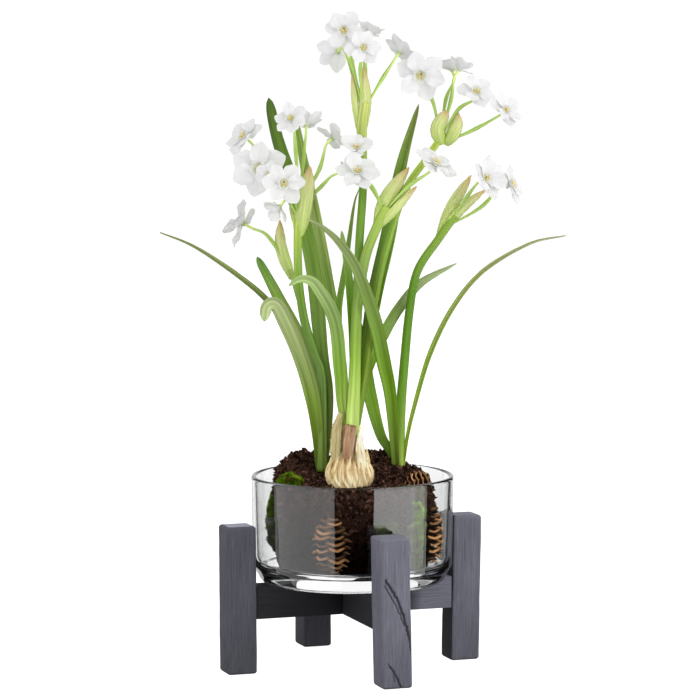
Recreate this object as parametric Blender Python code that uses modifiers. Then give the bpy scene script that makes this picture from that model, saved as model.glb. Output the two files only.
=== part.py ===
"""Paperwhite narcissi growing from bulbs in a glass bowl that stands in a dark timber cross stand.

Sizes are in millimetres in the stand's own frame: X to the right, Y to the back, Z up, with the
stand's axis at X 0, Y 0 and the feet at Z 0.  The whole model hangs on one empty, which shifts it so
that the middle of its overall box is over the world's origin.
"""
import math

import bmesh
import bpy
from mathutils import Matrix, Vector

MM = 0.001
GAP = 0.3                    # clearance between pieces that touch
AXIS_X = -9.4                # the stand's axis in the world, so that the overall box is centred

# Timber stand: four square legs joined by two half-lapped crossbars
STAND_TURN = math.radians(19.3)
LEG_SIDE = 23.2
LEG_HEIGHT = 111.0
LEG_RADIUS = 89.4            # from the stand's axis to the middle of a leg
LEG_CHAMFER = 1.2
BAR_WIDTH = 20.0
BAR_TOP = 65.0
BAR_BOTTOM = 41.0

# Glass bowl
BOWL_SIDES = 36
BOWL_CENTRE_X = 1.2          # the bowl stands a little to the right of the stand's axis
BOWL_FOOT = BAR_TOP + GAP
BOWL_TOP = 145.3
BOWL_FLOOR = 76.5            # inside, on top of the thick glass base
RIM_RADIUS = 76.2
WALL = 3.4
FACET_RADIUS = 75.0          # outside, where the slanted facet above the foot starts
FACET_HEIGHT = 12.4

# Soil
SOIL_FLOOR = BOWL_FLOOR + GAP
SOIL_CENTRE_X = 1.5
SOIL_SIDES = 20
SOIL_OUTLINE = ((0, 1), (12, 1), (23, 1), (34, 1), (44, 1), (53, 1), (59, 0.95), (60, 0.5), (57, 0), (0, 0))
SOIL_EDGE_HEIGHT = 140.0
# mounds on the soil: middle x and y, height, spread
MOUNDS = ((0, 12, 14, 27), (-42, 2, 20, 14), (26, 10, 11, 18))

# Thickness of leaves, spathes and petals
LEAF_THICKNESS = 1.0
PETAL_THICKNESS = 0.7

# Bulbs: each profile is (radius, height above the bulb's base)
FRONT_BULB = Vector((-1.0, -38.0, 139.0))
LEFT_BULB = Vector((-22.0, -14.0, 106.0))
RIGHT_BULB = Vector((36.0, -2.0, 104.0))
FRONT_PROFILE = ((11.5, 0), (16.2, 4), (18.1, 12), (16.6, 18), (13.4, 25), (11.8, 32), (12.4, 48))
BURIED_PROFILE = ((6.5, 0), (11, 7), (11, 20), (8.5, 34), (7.5, 40))
BULB_SIDES = 10
FRONT_SIDES = 14
SOCKET_RADIUS = 8.7
SOCKET_DEPTH = 14.0
NECK_DEPTH = 9.0             # from the brim down to where the neck opens out
NECK_RADIUS = 11.6           # inside the neck's papery brim
NECK_LIFT = (-3.5, 2.0)      # how much higher the brim is on the right and at the back

# Clumps: the radius of each shoot's foot, which stands in its bulb's neck or on it
FRONT_FOOT = 8.0
SIDE_FOOT = 7.0
STEM_HOLE = 10.0             # plain hole in the soil round each side clump
FRONT_HOLE = 13.9            # and round the front bulb's neck
HOLE_TOP = 90.0              # how far above a bulb's base its hole reaches, clear of the soil

STEM_SIDES = 2               # bevel resolution of the flower stems, eight sides
STALK_SIDES = 1              # and of the flower stalks, six sides

# Lumps of moss and pine cones: faces round and from pole to pole
MOSS_FACES = (10, 7)
CONE_FACES = (12, 12)

# Flowers: the pattern bloom's size, and the cup at its middle
BLOOM_RADIUS = 16.0
CUP_BACK = 2.4
CUP_PROFILE = ((0, 1.5), (2.2, 1.7), (3.3, 3.4), (3.6, -1.7), (2.0, -CUP_BACK), (0, -CUP_BACK))
CUP_SIDES = 6
PETAL_WIDTH = 13.5
PETAL_ROWS = (0, 0.62, 1.0)          # how far out each row of a petal's corners is
PETAL_WIDTHS = (0.15, 1.0, 0.42)     # and how wide it is there

# Flower stems: points from the bulb to the head, and radius
STEMS = {
    "top": ([(0, -37, 180), (3, -30, 246), (6, -21, 317), (9, -13, 363), (9, -8, 405), (11, -7, 425)], 3.4),
    "upper_right": ([(2, -38, 180), (10, -35, 225), (17, -22, 275), (26, -11, 315), (40, -3, 358),
                     (56, 4, 382), (70, 9, 402)], 3.0),
    "middle": ([(-1, -42, 180), (2, -41, 221), (4, -38, 265), (6, -34, 284), (11, -28, 312),
                (20, -24, 335), (27, -24, 348)], 4.2),
    "left": ([(-22, -15, 150), (-22, -17, 218), (-27, -18, 237), (-34.8, -19, 264), (-38.8, -20, 294),
              (-39.5, -20, 328), (-38, -19, 356)], 3.5),
    "side": ([(-20, -11, 150), (-25, -5, 203), (-31, -2, 240), (-36, -2, 266), (-41, -3, 285),
              (-45, -4, 300)], 2.2),
    "right": ([(36, -2, 148), (37, -3, 190), (40, -3, 230), (44, -1, 270), (50, 2, 299), (66, 5, 323),
               (78, 6, 340)], 3.5),
}

# Each flower: form, roll, middle, facing, radius, the share of the way up the stem where its
# stalk starts, and points on the stalk's way
HEADS = {
    "top": (
        ("open", 25, (-5, -18, 478), (-0.15, -0.95, 0.10), 16.5, 0.97, [(3, -8, 445)]),
        ("cupped", 0, (-10, 8, 462), (-0.45, 0.80, -0.30), 16.5, 0.95, [(1, -2, 447)]),
        ("open", 30, (9, -34, 465), (0.10, -0.90, 0.28), 15.0, 0.98, [(7, -13, 444)]),
        ("cupped", 20, (13, 10, 475), (0.35, 0.35, 0.85), 13.5, 0.98, [(11, 0, 443)]),
        ("open", 0, (36.5, 4, 462), (0.50, 0.45, 0.70), 15.5, 0.98, [(22, -4, 440)]),
    ),
    "upper_right": (
        ("open", 12, (51.5, -14, 445), (0.0, -0.97, -0.10), 20.0, 0.97, [(62, 3, 422)]),
        ("cupped", 25, (76, 20, 448.5), (-0.15, 0.45, 0.85), 14.5, 0.98, [(71, 14, 426)]),
        ("open", 15, (93, -9, 432), (0.15, -0.75, 0.60), 16.0, 0.98, [(80, 5, 419)]),
        ("open", 0, (115, 8, 418), (0.60, -0.60, 0.50), 15.0, 0.95, [(88, 10, 402)]),
        ("cupped", 10, (80.5, 1, 449), (0.45, 0.10, 0.85), 13.0, 0.98, [(75, 6, 428)]),
    ),
    "middle": (
        ("open", 20, (5, -53, 375), (0.0, -0.72, 0.69), 18.0, 0.97, [(16, -30, 363)]),
        ("cupped", 0, (4, -27, 391), (0.05, -0.60, 0.80), 15.0, 0.98, [(11, -22, 369)]),
        ("open", 40, (62, -28, 380), (0.52, -0.42, 0.74), 19.0, 0.98, [(42, -27, 363)]),
    ),
    "left": (
        ("open", 0, (-79, -5.5, 399), (-0.60, -0.50, 0.60), 17.5, 0.96, [(-59, -13, 376)]),
        ("open", 0, (-68, -26, 376), (-0.10, -0.97, 0.15), 22.5, 0.95, [(-54, -24, 368)]),
        ("cupped", 0, (-60, -46, 372), (-0.40, -0.80, 0.40), 12.0, 0.94, [(-45, -39, 361)]),
        ("open", 30, (-49, -60, 367), (0.10, -0.98, 0.10), 17.0, 0.93, [(-44, -34, 362)]),
        ("cupped", 0, (-53, -24, 348), (-0.65, 0.20, -0.70), 14.0, 0.92, [(-44, -24, 349)]),
        ("open", 15, (-44, -32, 413), (-0.20, -0.80, 0.50), 14.0, 0.98, [(-41, -17, 390)]),
        ("cupped", 0, (-33, -6, 408), (0.05, 0.60, 0.80), 14.5, 0.98, [(-35, -10, 385)]),
        ("open", 30, (-13.5, -5, 398.5), (0.58, 0.45, 0.68), 15.0, 0.97, [(-24, -16, 374)]),
        ("cupped", 0, (-6, -20, 374), (0.85, -0.10, 0.35), 12.0, 0.95, [(-19, -19, 366)]),
    ),
    "side": (
        ("open", 0, (-81.3, -2, 335), (-0.80, 0.30, 0.42), 19.0, 0.97, [(-61, -4, 324)]),
    ),
    "right": (
        ("cupped", 0, (99.3, -14, 368), (0.62, -0.68, 0.40), 18.5, 0.97, [(85, -1, 352)]),
        ("open", 0, (119.5, 10, 363), (0.85, -0.42, 0.25), 16.5, 0.95, [(97, 5, 346)]),
    ),
}

# Sheaths under the heads: points from root to tip, width and turn
SPATHES = {
    "top": (([(7, -8, 396), (11.4, -9, 425), (9.4, -12, 451)], 9.5, 15),
            ([(7, -7, 396), (2.4, -6, 422), (0.4, -9, 446)], 6, -30)),
    "upper_right": (([(68, 9, 393), (63, 5, 405), (69, 1, 419)], 9.5, 10),
                    ([(69, 10, 393), (77, 8, 404), (80, 10, 417)], 10, -20)),
    "middle": (([(19, -24, 331), (26, -24, 353), (43, -18, 377)], 11, 0),
               ([(20, -24, 331), (34, -26, 345), (49, -20, 363)], 9, 40)),
    "left": (([(-38, -20, 328), (-33, -23, 353), (-29, -22, 380)], 12, -20),
             ([(-38, -20, 328), (-42, -17, 350), (-41, -15, 370)], 8, 60)),
    "side": (([(-44, -4, 293), (-52, -5, 316), (-53, -4, 337)], 9, 0),),
    "right": (([(65, 5, 322), (75, 8, 347), (90, 10, 370)], 9.5, -20),
              ([(68, 5, 326), (84, 4, 344), (101, 6, 359)], 8.5, 30)),
}


def clear_scene():
    for item in list(bpy.data.objects):
        bpy.data.objects.remove(item, do_unlink=True)


def make_collection(name, hidden=False):
    group = bpy.data.collections.new(name)
    bpy.context.scene.collection.children.link(group)
    group.hide_render = hidden
    return group


def make_material(name, colour, roughness, alpha=1.0):
    finish = bpy.data.materials.new(name)
    finish.use_nodes = True
    shader = finish.node_tree.nodes["Principled BSDF"]
    shader.inputs["Base Color"].default_value = (*colour, 1.0)
    shader.inputs["Roughness"].default_value = roughness
    shader.inputs["Metallic"].default_value = 0.0
    shader.inputs["Alpha"].default_value = alpha
    finish.diffuse_color = (*colour, alpha)
    return finish


def mesh_object(name, shape, group):
    """A new object from a bmesh whose coordinates are in millimetres."""
    bmesh.ops.scale(shape, vec=(MM, MM, MM), verts=shape.verts)
    mesh = bpy.data.meshes.new(name)
    shape.to_mesh(mesh)
    shape.free()
    item = bpy.data.objects.new(name, mesh)
    group.objects.link(item)
    return item


def finish_part(item, finish, smooth=True):
    """Give a part its material, hang it on the model's empty and list it with the parts."""
    item.data.materials.clear()
    item.data.materials.append(finish)
    item.parent = MODEL
    if smooth:
        item.data.shade_smooth()
        item.data.set_sharp_from_angle(angle=math.radians(40))
    return item


def evaluated_mesh(item):
    depsgraph = bpy.context.evaluated_depsgraph_get()
    depsgraph.update()
    return bpy.data.meshes.new_from_object(item.evaluated_get(depsgraph))


def apply_modifiers(item):
    mesh = evaluated_mesh(item)
    item.modifiers.clear()
    item.data = mesh
    return item


def cut(item, cutter, solver="EXACT"):
    knife = item.modifiers.new("cut_" + cutter.name, "BOOLEAN")
    knife.operation = "DIFFERENCE"
    knife.object = cutter
    knife.solver = solver
    cutter.hide_render = True
    cutter.display_type = "WIRE"


def merge_flat_faces(item):
    """Dissolve the edges that a cut or a union leaves inside a flat face."""
    shape = bmesh.new()
    shape.from_mesh(item.data)
    bmesh.ops.dissolve_degenerate(shape, dist=0.001 * MM, edges=shape.edges)
    bmesh.ops.dissolve_limit(shape, angle_limit=math.radians(0.2), verts=shape.verts, edges=shape.edges)
    shape.to_mesh(item.data)
    shape.free()


def drop_scraps(item):
    """Keep only the largest of a mesh's loose bodies."""
    shape = bmesh.new()
    shape.from_mesh(item.data)
    waiting = set(shape.verts)
    bodies = []
    while waiting:
        body = set()
        edge = [waiting.pop()]
        while edge:
            vert = edge.pop()
            body.add(vert)
            for link in vert.link_edges:
                other = link.other_vert(vert)
                if other in waiting:
                    waiting.remove(other)
                    edge.append(other)
        bodies.append(body)
    bodies.sort(key=len)
    for body in bodies[:-1]:
        bmesh.ops.delete(shape, geom=list(body), context="VERTS")
    shape.to_mesh(item.data)
    shape.free()


def fuse(body, limbs):
    """Join the limbs, which are sunk into the body, to it in one solid."""
    group = make_collection(body.name + "_limbs", hidden=True)
    for limb in limbs:
        for owner in limb.users_collection:
            owner.objects.unlink(limb)
        group.objects.link(limb)
    join = body.modifiers.new("join", "BOOLEAN")
    join.operation = "UNION"
    join.operand_type = "COLLECTION"
    join.collection = group
    join.solver = "MANIFOLD"
    apply_modifiers(body)
    merge_flat_faces(body)
    for limb in limbs:
        bpy.data.objects.remove(limb, do_unlink=True)
    bpy.data.collections.remove(group)
    return body


def smooth_route(points, count):
    """Points spread evenly along a Catmull-Rom curve through the given ones."""
    knots = [Vector(point) for point in points]
    knots = [2 * knots[0] - knots[1]] + knots + [2 * knots[-1] - knots[-2]]
    fine = []
    for a, b, c, d in zip(knots, knots[1:], knots[2:], knots[3:]):
        for step in range(12):
            t = step / 12
            fine.append(0.5 * (2 * b + (c - a) * t + (2 * a - 5 * b + 4 * c - d) * t ** 2
                               + (3 * b - a - 3 * c + d) * t ** 3))
    fine.append(knots[-2])
    lengths = [0.0]
    for a, b in zip(fine, fine[1:]):
        lengths.append(lengths[-1] + (b - a).length)
    route = []
    index = 0
    for number in range(count):
        target = lengths[-1] * number / (count - 1)
        while index < len(fine) - 2 and lengths[index + 1] < target:
            index += 1
        share = (target - lengths[index]) / (lengths[index + 1] - lengths[index])
        route.append(fine[index].lerp(fine[index + 1], min(share, 1.0)))
    return route


def tangents(route):
    last = len(route) - 1
    return [(route[min(i + 1, last)] - route[max(i - 1, 0)]).normalized() for i in range(last + 1)]


def between(stops, share):
    """The value at a share of the way along evenly spaced stops."""
    place = share * (len(stops) - 1)
    index = min(int(place), len(stops) - 2)
    return stops[index] + (stops[index + 1] - stops[index]) * (place - index)


def rod(name, route, radii, sides):
    """A round rod along the route, as a mesh; radii are stops spread along its length."""
    curve = bpy.data.curves.new(name, "CURVE")
    curve.dimensions = "3D"
    curve.bevel_depth = MM
    curve.bevel_resolution = sides
    curve.use_fill_caps = True
    spline = curve.splines.new("POLY")
    spline.points.add(len(route) - 1)
    for index, point in enumerate(route):
        spline.points[index].co = (*(point * MM), 1.0)
        spline.points[index].radius = between(radii, index / (len(route) - 1))
    guide = bpy.data.objects.new(name + "_route", curve)
    PARTS.objects.link(guide)
    mesh = evaluated_mesh(guide)
    shape = bmesh.new()
    shape.from_mesh(mesh)
    bmesh.ops.remove_doubles(shape, verts=shape.verts, dist=0.001 * MM)
    bmesh.ops.recalc_face_normals(shape, faces=shape.faces)
    shape.to_mesh(mesh)
    shape.free()
    bpy.data.objects.remove(guide, do_unlink=True)
    item = bpy.data.objects.new(name, mesh)
    PARTS.objects.link(item)
    return item


def sheet(name, across, along, place, thickness):
    """A thin closed blade: a grid moved to place(u, v), u from -1 to 1 across and v from 0 to 1 along."""
    shape = bmesh.new()
    bmesh.ops.create_grid(shape, x_segments=across, y_segments=along, size=1.0)
    for vert in shape.verts:
        vert.co = place(vert.co.x, (vert.co.y + 1) / 2)
    bmesh.ops.triangulate(shape, faces=shape.faces)
    item = mesh_object(name, shape, PARTS)
    skin = item.modifiers.new("thickness", "SOLIDIFY")
    skin.thickness = thickness * MM
    skin.offset = 0.0
    return apply_modifiers(item)


def strap_leaf(name, points, width, turn=(0, 0), taper=0.45, channel=0.16, along=9, tip=0.12):
    """A strap leaf along its points: full width up to the taper, then narrowing to a blunt tip.

    turn is the angle between the leaf's face and the viewer in front, at its foot and at its tip.
    """
    route = smooth_route(points, along + 1)
    directions = tangents(route)

    def place(u, v):
        index = round(v * along)
        forward = directions[index]
        face = Vector((0, -1, 0))
        face = (face - forward * face.dot(forward)).normalized()
        angle = math.radians(between(turn, v))
        face = Matrix.Rotation(angle, 3, forward) @ face
        side = forward.cross(face)
        past = max(0.0, (v - taper) / (1 - taper))
        half = width / 2 * (1 - (1 - tip) * past ** 2.2) * (0.5 + 0.5 * min(1.0, 2.5 * v))
        return route[index] + side * half * u + face * 2 * half * channel * u * u

    return sheet(name, 2, along, place, LEAF_THICKNESS)


def spathe_lobe(name, points, width, turn=0.0):
    """One papery lobe of the sheath under a flower head: a pointed boat of a leaf."""
    outline = (0.55, 0.92, 1.0, 0.72, 0.12)
    along = len(outline) - 1
    route = smooth_route(points, along + 1)
    directions = tangents(route)

    def place(u, v):
        index = round(v * along)
        forward = directions[index]
        face = Vector((0, -1, 0))
        face = (face - forward * face.dot(forward)).normalized()
        face = Matrix.Rotation(math.radians(turn), 3, forward) @ face
        side = forward.cross(face)
        half = width / 2 * outline[index]
        return route[index] + side * half * u - face * 0.55 * half * u * u

    return sheet(name, 2, along, place, LEAF_THICKNESS)


def box(name, size, centre, turn=0.0):
    shape = bmesh.new()
    bmesh.ops.create_cube(shape, size=1.0)
    bmesh.ops.scale(shape, vec=size, verts=shape.verts)
    item = mesh_object(name, shape, PARTS)
    item.location = Vector(centre) * MM
    item.rotation_euler[2] = turn
    return item


def turned(name, profile, centre, sides, group):
    """A solid turned about a vertical axis from a closed (radius, height) profile, top to bottom."""
    shape = bmesh.new()
    verts = [shape.verts.new((radius, 0, height)) for radius, height in profile]
    for a, b in zip(verts, verts[1:]):
        shape.edges.new((a, b))
    item = mesh_object(name, shape, group)
    item.location = Vector(centre) * MM
    spin = item.modifiers.new("turn", "SCREW")
    spin.steps = sides
    spin.render_steps = sides
    spin.use_merge_vertices = True
    spin.merge_threshold = 0.01 * MM
    spin.use_normal_calculate = True
    return item


def lump(name, centre, radii, faces, relief=None):
    """An egg-shaped lump; relief(ring, side) is a factor on its radius."""
    sides, rings = faces
    shape = bmesh.new()
    bmesh.ops.create_uvsphere(shape, u_segments=sides, v_segments=rings, radius=1.0)
    for vert in shape.verts:
        height = vert.co.z
        ring = round(math.acos(max(-1.0, min(1.0, height))) / math.pi * rings)
        side = round((math.atan2(vert.co.y, vert.co.x) % math.tau) / math.tau * sides) % sides
        factor = relief(ring, side) if relief else 1.0
        vert.co = Vector((vert.co.x * radii[0], vert.co.y * radii[1], vert.co.z * radii[2])) * factor
    item = mesh_object(name, shape, PARTS)
    item.location = Vector(centre) * MM
    return item


def build_stand(finish):
    along = Vector((math.cos(STAND_TURN), math.sin(STAND_TURN), 0))
    towards = Vector((math.sin(STAND_TURN), -math.cos(STAND_TURN), 0))
    places = (("leg_left", -along), ("leg_right", along), ("leg_front", towards), ("leg_back", -towards))
    for name, way in places:
        centre = way * LEG_RADIUS + Vector((0, 0, LEG_HEIGHT / 2))
        leg = box(name, (LEG_SIDE, LEG_SIDE, LEG_HEIGHT), centre, STAND_TURN)
        edge = leg.modifiers.new("edges", "BEVEL")
        edge.width = LEG_CHAMFER * MM
        edge.segments = 1
        finish_part(leg, finish, smooth=False)

    length = 2 * (LEG_RADIUS - LEG_SIDE / 2 - GAP)
    height = BAR_TOP - BAR_BOTTOM
    middle = Vector((0, 0, (BAR_TOP + BAR_BOTTOM) / 2))
    notch = BAR_WIDTH + 2 * GAP
    turns = {"crossbar_upper": STAND_TURN, "crossbar_lower": STAND_TURN + math.pi / 2}
    for name, turn in turns.items():
        bar = box(name, (length, BAR_WIDTH, height), middle, turn)
        # each bar loses half its height where the other crosses it
        shift = -1 if name == "crossbar_upper" else 1
        slot_middle = middle + Vector((0, 0, shift * height / 2))
        slot = box(name + "_notch", (notch, 2 * BAR_WIDTH, height + GAP), slot_middle, turn)
        cut(bar, slot)
        CUTTERS.objects.link(slot)
        PARTS.objects.unlink(slot)
        slot.parent = MODEL
        finish_part(bar, finish, smooth=False)


def build_bowl(finish):
    inner = RIM_RADIUS - WALL
    profile = ((0, BOWL_FLOOR), (inner - 10, BOWL_FLOOR), (inner - 5, BOWL_FLOOR + 3),
               (inner - 3, BOWL_FLOOR + 8), (inner, BOWL_TOP - 1), (inner + 1, BOWL_TOP),
               (RIM_RADIUS - 1, BOWL_TOP), (RIM_RADIUS, BOWL_TOP - 2), (FACET_RADIUS, BOWL_FOOT + FACET_HEIGHT),
               (FACET_RADIUS - 4.5, BOWL_FOOT + 3.3), (FACET_RADIUS - 7.5, BOWL_FOOT), (0, BOWL_FOOT))
    bowl = turned("glass_bowl", profile, (BOWL_CENTRE_X, 0, 0), BOWL_SIDES, PARTS)
    finish_part(bowl, finish)


def soil_height(x, y):
    height = SOIL_EDGE_HEIGHT
    for mound_x, mound_y, rise, spread in MOUNDS:
        height += rise * math.exp(-((x - mound_x) ** 2 + (y - mound_y) ** 2) / (2 * spread ** 2))
    return height


def build_soil(finish):
    """A turned lump of soil whose top is raised into mounds and whose side is rippled."""
    # how high each ring of the outline is: 1 on the top, 0 on the floor
    shares = [share for _, share in SOIL_OUTLINE]
    depth = SOIL_EDGE_HEIGHT - SOIL_FLOOR
    outline = [(radius, depth * share) for radius, share in SOIL_OUTLINE]
    soil = apply_modifiers(turned("soil", outline, (0, 0, 0), SOIL_SIDES, PARTS))
    for vert in soil.data.vertices:
        x, y, level = vert.co / MM
        side = math.atan2(y, x)
        share = min(shares, key=lambda value: abs(value - level / depth))
        ripple = 1 + 0.02 * math.sin(5 * side + 3 * share) + 0.015 * math.sin(9 * side)
        x = SOIL_CENTRE_X + x * ripple
        y = y * ripple
        vert.co = Vector((x, y, SOIL_FLOOR + (soil_height(x, y) - SOIL_FLOOR) * share)) * MM
    return finish_part(soil, finish)


def pit(soil, item, centre, radii, faces):
    """An egg-shaped hollow in the soil, a gap larger than the lump that sits in it."""
    grown = tuple(radius + 1.5 * GAP for radius in radii)
    hollow = lump(item.name + "_pit", centre, grown, faces)
    hollow.rotation_euler = item.rotation_euler
    CUTTERS.objects.link(hollow)
    PARTS.objects.unlink(hollow)
    hollow.parent = MODEL
    cut(soil, hollow)


def build_moss(soil, finish):
    def rough(ring, side):
        return 1 - 0.05 * ((3 * ring + 5 * side) % 4) / 3

    pads = (("moss_left", (-57, -12, 112), (8, 22, 28)), ("moss_top", (-45, -33, 144), (10.5, 10, 6)),
            ("moss_front", (24, -57, 112), (11, 6, 8)), ("moss_right", (47, -37, 110), (8, 8, 24)))
    for name, centre, radii in pads:
        pad = lump(name, centre, radii, MOSS_FACES, rough)
        finish_part(pad, finish)
        pit(soil, pad, centre, radii, MOSS_FACES)


def build_cones(soil, finish):
    """Pine cones: each row of scales stands proud of the groove under it, and rows are staggered."""
    def scales(ring, side):
        if ring % 2:
            return 0.80
        return 1.0 if (side + ring // 2) % 2 else 0.88

    cones = (("pine_cone_front", (-13, -52, 100), (14, 14, 22.5), (0, 0)),
             ("pine_cone_right", (58.5, -10, 101), (9.5, 12, 23.5), (0, 0)),
             ("pine_cone_top", (49, -27, 144), (6.5, 6.5, 10), (0, 80)))
    for name, centre, radii, (lean_x, lean_y) in cones:
        cone = lump(name, centre, radii, CONE_FACES, scales)
        cone.rotation_euler = (math.radians(lean_x), math.radians(lean_y), 0)
        finish_part(cone, finish, smooth=False)
        # the hollow has a ring of corners at each row of scales and none at the grooves
        pit(soil, cone, centre, radii, (CONE_FACES[0], CONE_FACES[1] // 2))


def bulb_pit(soil, name, profile, base, hole_radius, sides=BULB_SIDES):
    """The hollow that a bulb and the clump above it stand in, open to the top."""
    rise = profile[-1][1]
    outline = [(0, HOLE_TOP), (hole_radius, HOLE_TOP), (hole_radius, rise + GAP)]
    outline += [(radius + 1.3 * GAP, height) for radius, height in reversed(profile[1:])]
    outline += [(profile[0][0] + 1.3 * GAP, -GAP), (0, -GAP)]
    hollow = turned(name + "_pit", outline, base, sides, CUTTERS)
    hollow.parent = MODEL
    cut(soil, hollow)


def build_bulbs(soil, finish):
    for name, base in (("bulb_left", LEFT_BULB), ("bulb_right", RIGHT_BULB)):
        rise = BURIED_PROFILE[-1][1]
        outline = [(0, rise)] + list(reversed(BURIED_PROFILE)) + [(0, 0)]
        bulb = turned(name, outline, base, BULB_SIDES, PARTS)
        finish_part(bulb, finish)
        bulb_pit(soil, name, BURIED_PROFILE, base, STEM_HOLE)

    rise = FRONT_PROFILE[-1][1]
    outline = [(0, rise - SOCKET_DEPTH), (SOCKET_RADIUS, rise - SOCKET_DEPTH),
               (SOCKET_RADIUS, rise - NECK_DEPTH), (NECK_RADIUS, rise)]
    outline += list(reversed(FRONT_PROFILE)) + [(0, 0)]
    bulb = turned("bulb_front", outline, FRONT_BULB, FRONT_SIDES, PARTS)
    apply_modifiers(bulb)
    for vert in bulb.data.vertices:
        side = math.atan2(vert.co.y, vert.co.x)
        if vert.co.z > (rise - 0.1) * MM:
            vert.co.z += (NECK_LIFT[0] * math.cos(side) + NECK_LIFT[1] * math.sin(side)) * MM
    finish_part(bulb, finish)
    bulb_pit(soil, "bulb_front", FRONT_PROFILE, FRONT_BULB, FRONT_HOLE, FRONT_SIDES)
    apply_modifiers(soil)
    drop_scraps(soil)
    merge_flat_faces(soil)


def foot(name, centre, radius, bottom, top):
    """The sheath at the foot of a clump, from which its leaves and stems rise."""
    shape = bmesh.new()
    bmesh.ops.create_cone(shape, cap_ends=True, segments=12, radius1=radius, radius2=0.82 * radius,
                          depth=top - bottom)
    bmesh.ops.translate(shape, vec=(centre[0], centre[1], (top + bottom) / 2), verts=shape.verts)
    return mesh_object(name, shape, PARTS)


def stem(head):
    points, radius = STEMS[head]
    route = smooth_route(points, 9)
    return rod("stem_" + head, route, (radius * 1.25, radius, radius * 0.9, radius * 0.85), STEM_SIDES)


def stalk(name, start, via, bloom):
    """The stalk of one flower: thin, then its swollen ovary, then the tube up to the petals."""
    centre, direction, radius = bloom
    facing = Vector(direction).normalized()
    centre = Vector(centre)
    scale = radius / BLOOM_RADIUS
    end = centre - facing * (CUP_BACK * scale + 1.5 * GAP)
    points = [start] + [Vector(point) for point in via] + [centre - facing * 9, end]
    route = smooth_route(points, 6)
    # the last stretch stands square to the flower
    route[-2] = end - facing * (end - route[-2]).length
    radii = (0.9, 1.0, 1.4, 1.6, 1.0, 1.2)
    return rod(name, route, radii, STALK_SIDES)


def pattern_bloom(name, rise):
    """Six broad petals in two rings of three round a shallow cup, facing up the Z axis."""
    cup = apply_modifiers(turned(name, CUP_PROFILE, (0, 0, 0), CUP_SIDES, PARTS))
    petals = []
    for number in range(6):
        inner = number % 2
        angle = math.radians(60 * number + 30)
        tilt = math.radians(rise + (8 if inner else 0))
        base = 0.2 if inner else -1.2
        length = BLOOM_RADIUS * (1.0 if inner else 1.04)

        def place(u, v):
            row = round(2 * v)
            half = PETAL_WIDTH / 2 * PETAL_WIDTHS[row]
            out = 1.0 + (length - 1.0) * PETAL_ROWS[row]
            lift = base + out * math.sin(tilt) - 1.2 * v * v
            across = half * u
            reach = out * math.cos(tilt)
            return Vector((reach * math.cos(angle) - across * math.sin(angle),
                           reach * math.sin(angle) + across * math.cos(angle), lift))

        petals.append(sheet(name + "_petal", 1, 2, place, PETAL_THICKNESS))
    return fuse(cup, petals)


def build_blooms(heads, finish):
    patterns = {"open": pattern_bloom("open_bloom", 6), "cupped": pattern_bloom("cupped_bloom", 26)}
    for head, blooms in heads.items():
        for number, (form, roll, centre, direction, radius, _, _) in enumerate(blooms, 1):
            item = bpy.data.objects.new("flower_%s_%d" % (head, number), patterns[form].data)
            PARTS.objects.link(item)
            facing = Vector(direction).normalized()
            turn = facing.to_track_quat("Z", "Y").to_matrix().to_4x4()
            spin = Matrix.Rotation(math.radians(roll), 4, "Z")
            size = Matrix.Scale(radius / BLOOM_RADIUS, 4)
            finish_part(item, finish)
            item.matrix_local = Matrix.Translation(Vector(centre) * MM) @ turn @ spin @ size
    for pattern in patterns.values():
        bpy.data.objects.remove(pattern, do_unlink=True)


def heads_of(names):
    """The stems of these heads, with their sheaths and the stalk of each flower."""
    limbs = []
    for head in names:
        limbs.append(stem(head))
        for number, (points, width, turn) in enumerate(SPATHES[head], 1):
            limbs.append(spathe_lobe("spathe_%s_%d" % (head, number), points, width, turn))
        route = smooth_route(STEMS[head][0], 40)
        for number, (_, _, centre, direction, radius, share, via) in enumerate(HEADS[head], 1):
            start = between(route, share)
            limbs.append(stalk("stalk_%s_%d" % (head, number), start, via, (centre, direction, radius)))
    return limbs


def build_left_shoot(finish):
    body = foot("shoot_left", LEFT_BULB, SIDE_FOOT, LEFT_BULB.z + 40 + GAP, 160)
    limbs = [
        strap_leaf("far_left", [(-21, -12, 150), (-24, -11, 188), (-33, -8, 222), (-49, -3, 256),
                                (-64, 2, 277), (-89, 10, 297), (-119, 18, 316), (-144, 24, 326)],
                   6.0, turn=(20, 62), taper=0.5, along=12),
        strap_leaf("blunt", [(-23, -14, 150), (-25, -14, 192), (-36, -13, 243), (-54, -12, 280),
                             (-70, -9, 310)], 9.5, taper=0.6, tip=0.5),
        strap_leaf("bent", [(-23, -17, 150), (-25, -19, 181), (-29, -22, 209), (-37, -26, 237),
                            (-47, -30, 261), (-55, -34, 276), (-62, -36, 275), (-64, -37, 264)], 12,
                   taper=0.75, tip=0.5, along=12),
        strap_leaf("tall", [(-20, -11, 150), (-17, -11, 203), (-22, -9, 240), (-29, -5, 306),
                            (-41, -1, 356), (-54.3, 2, 396), (-61.4, 4, 428)], 11, taper=0.6, tip=0.62,
                   along=10),
    ]
    finish_part(fuse(body, limbs + heads_of(("left", "side"))), finish)


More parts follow.
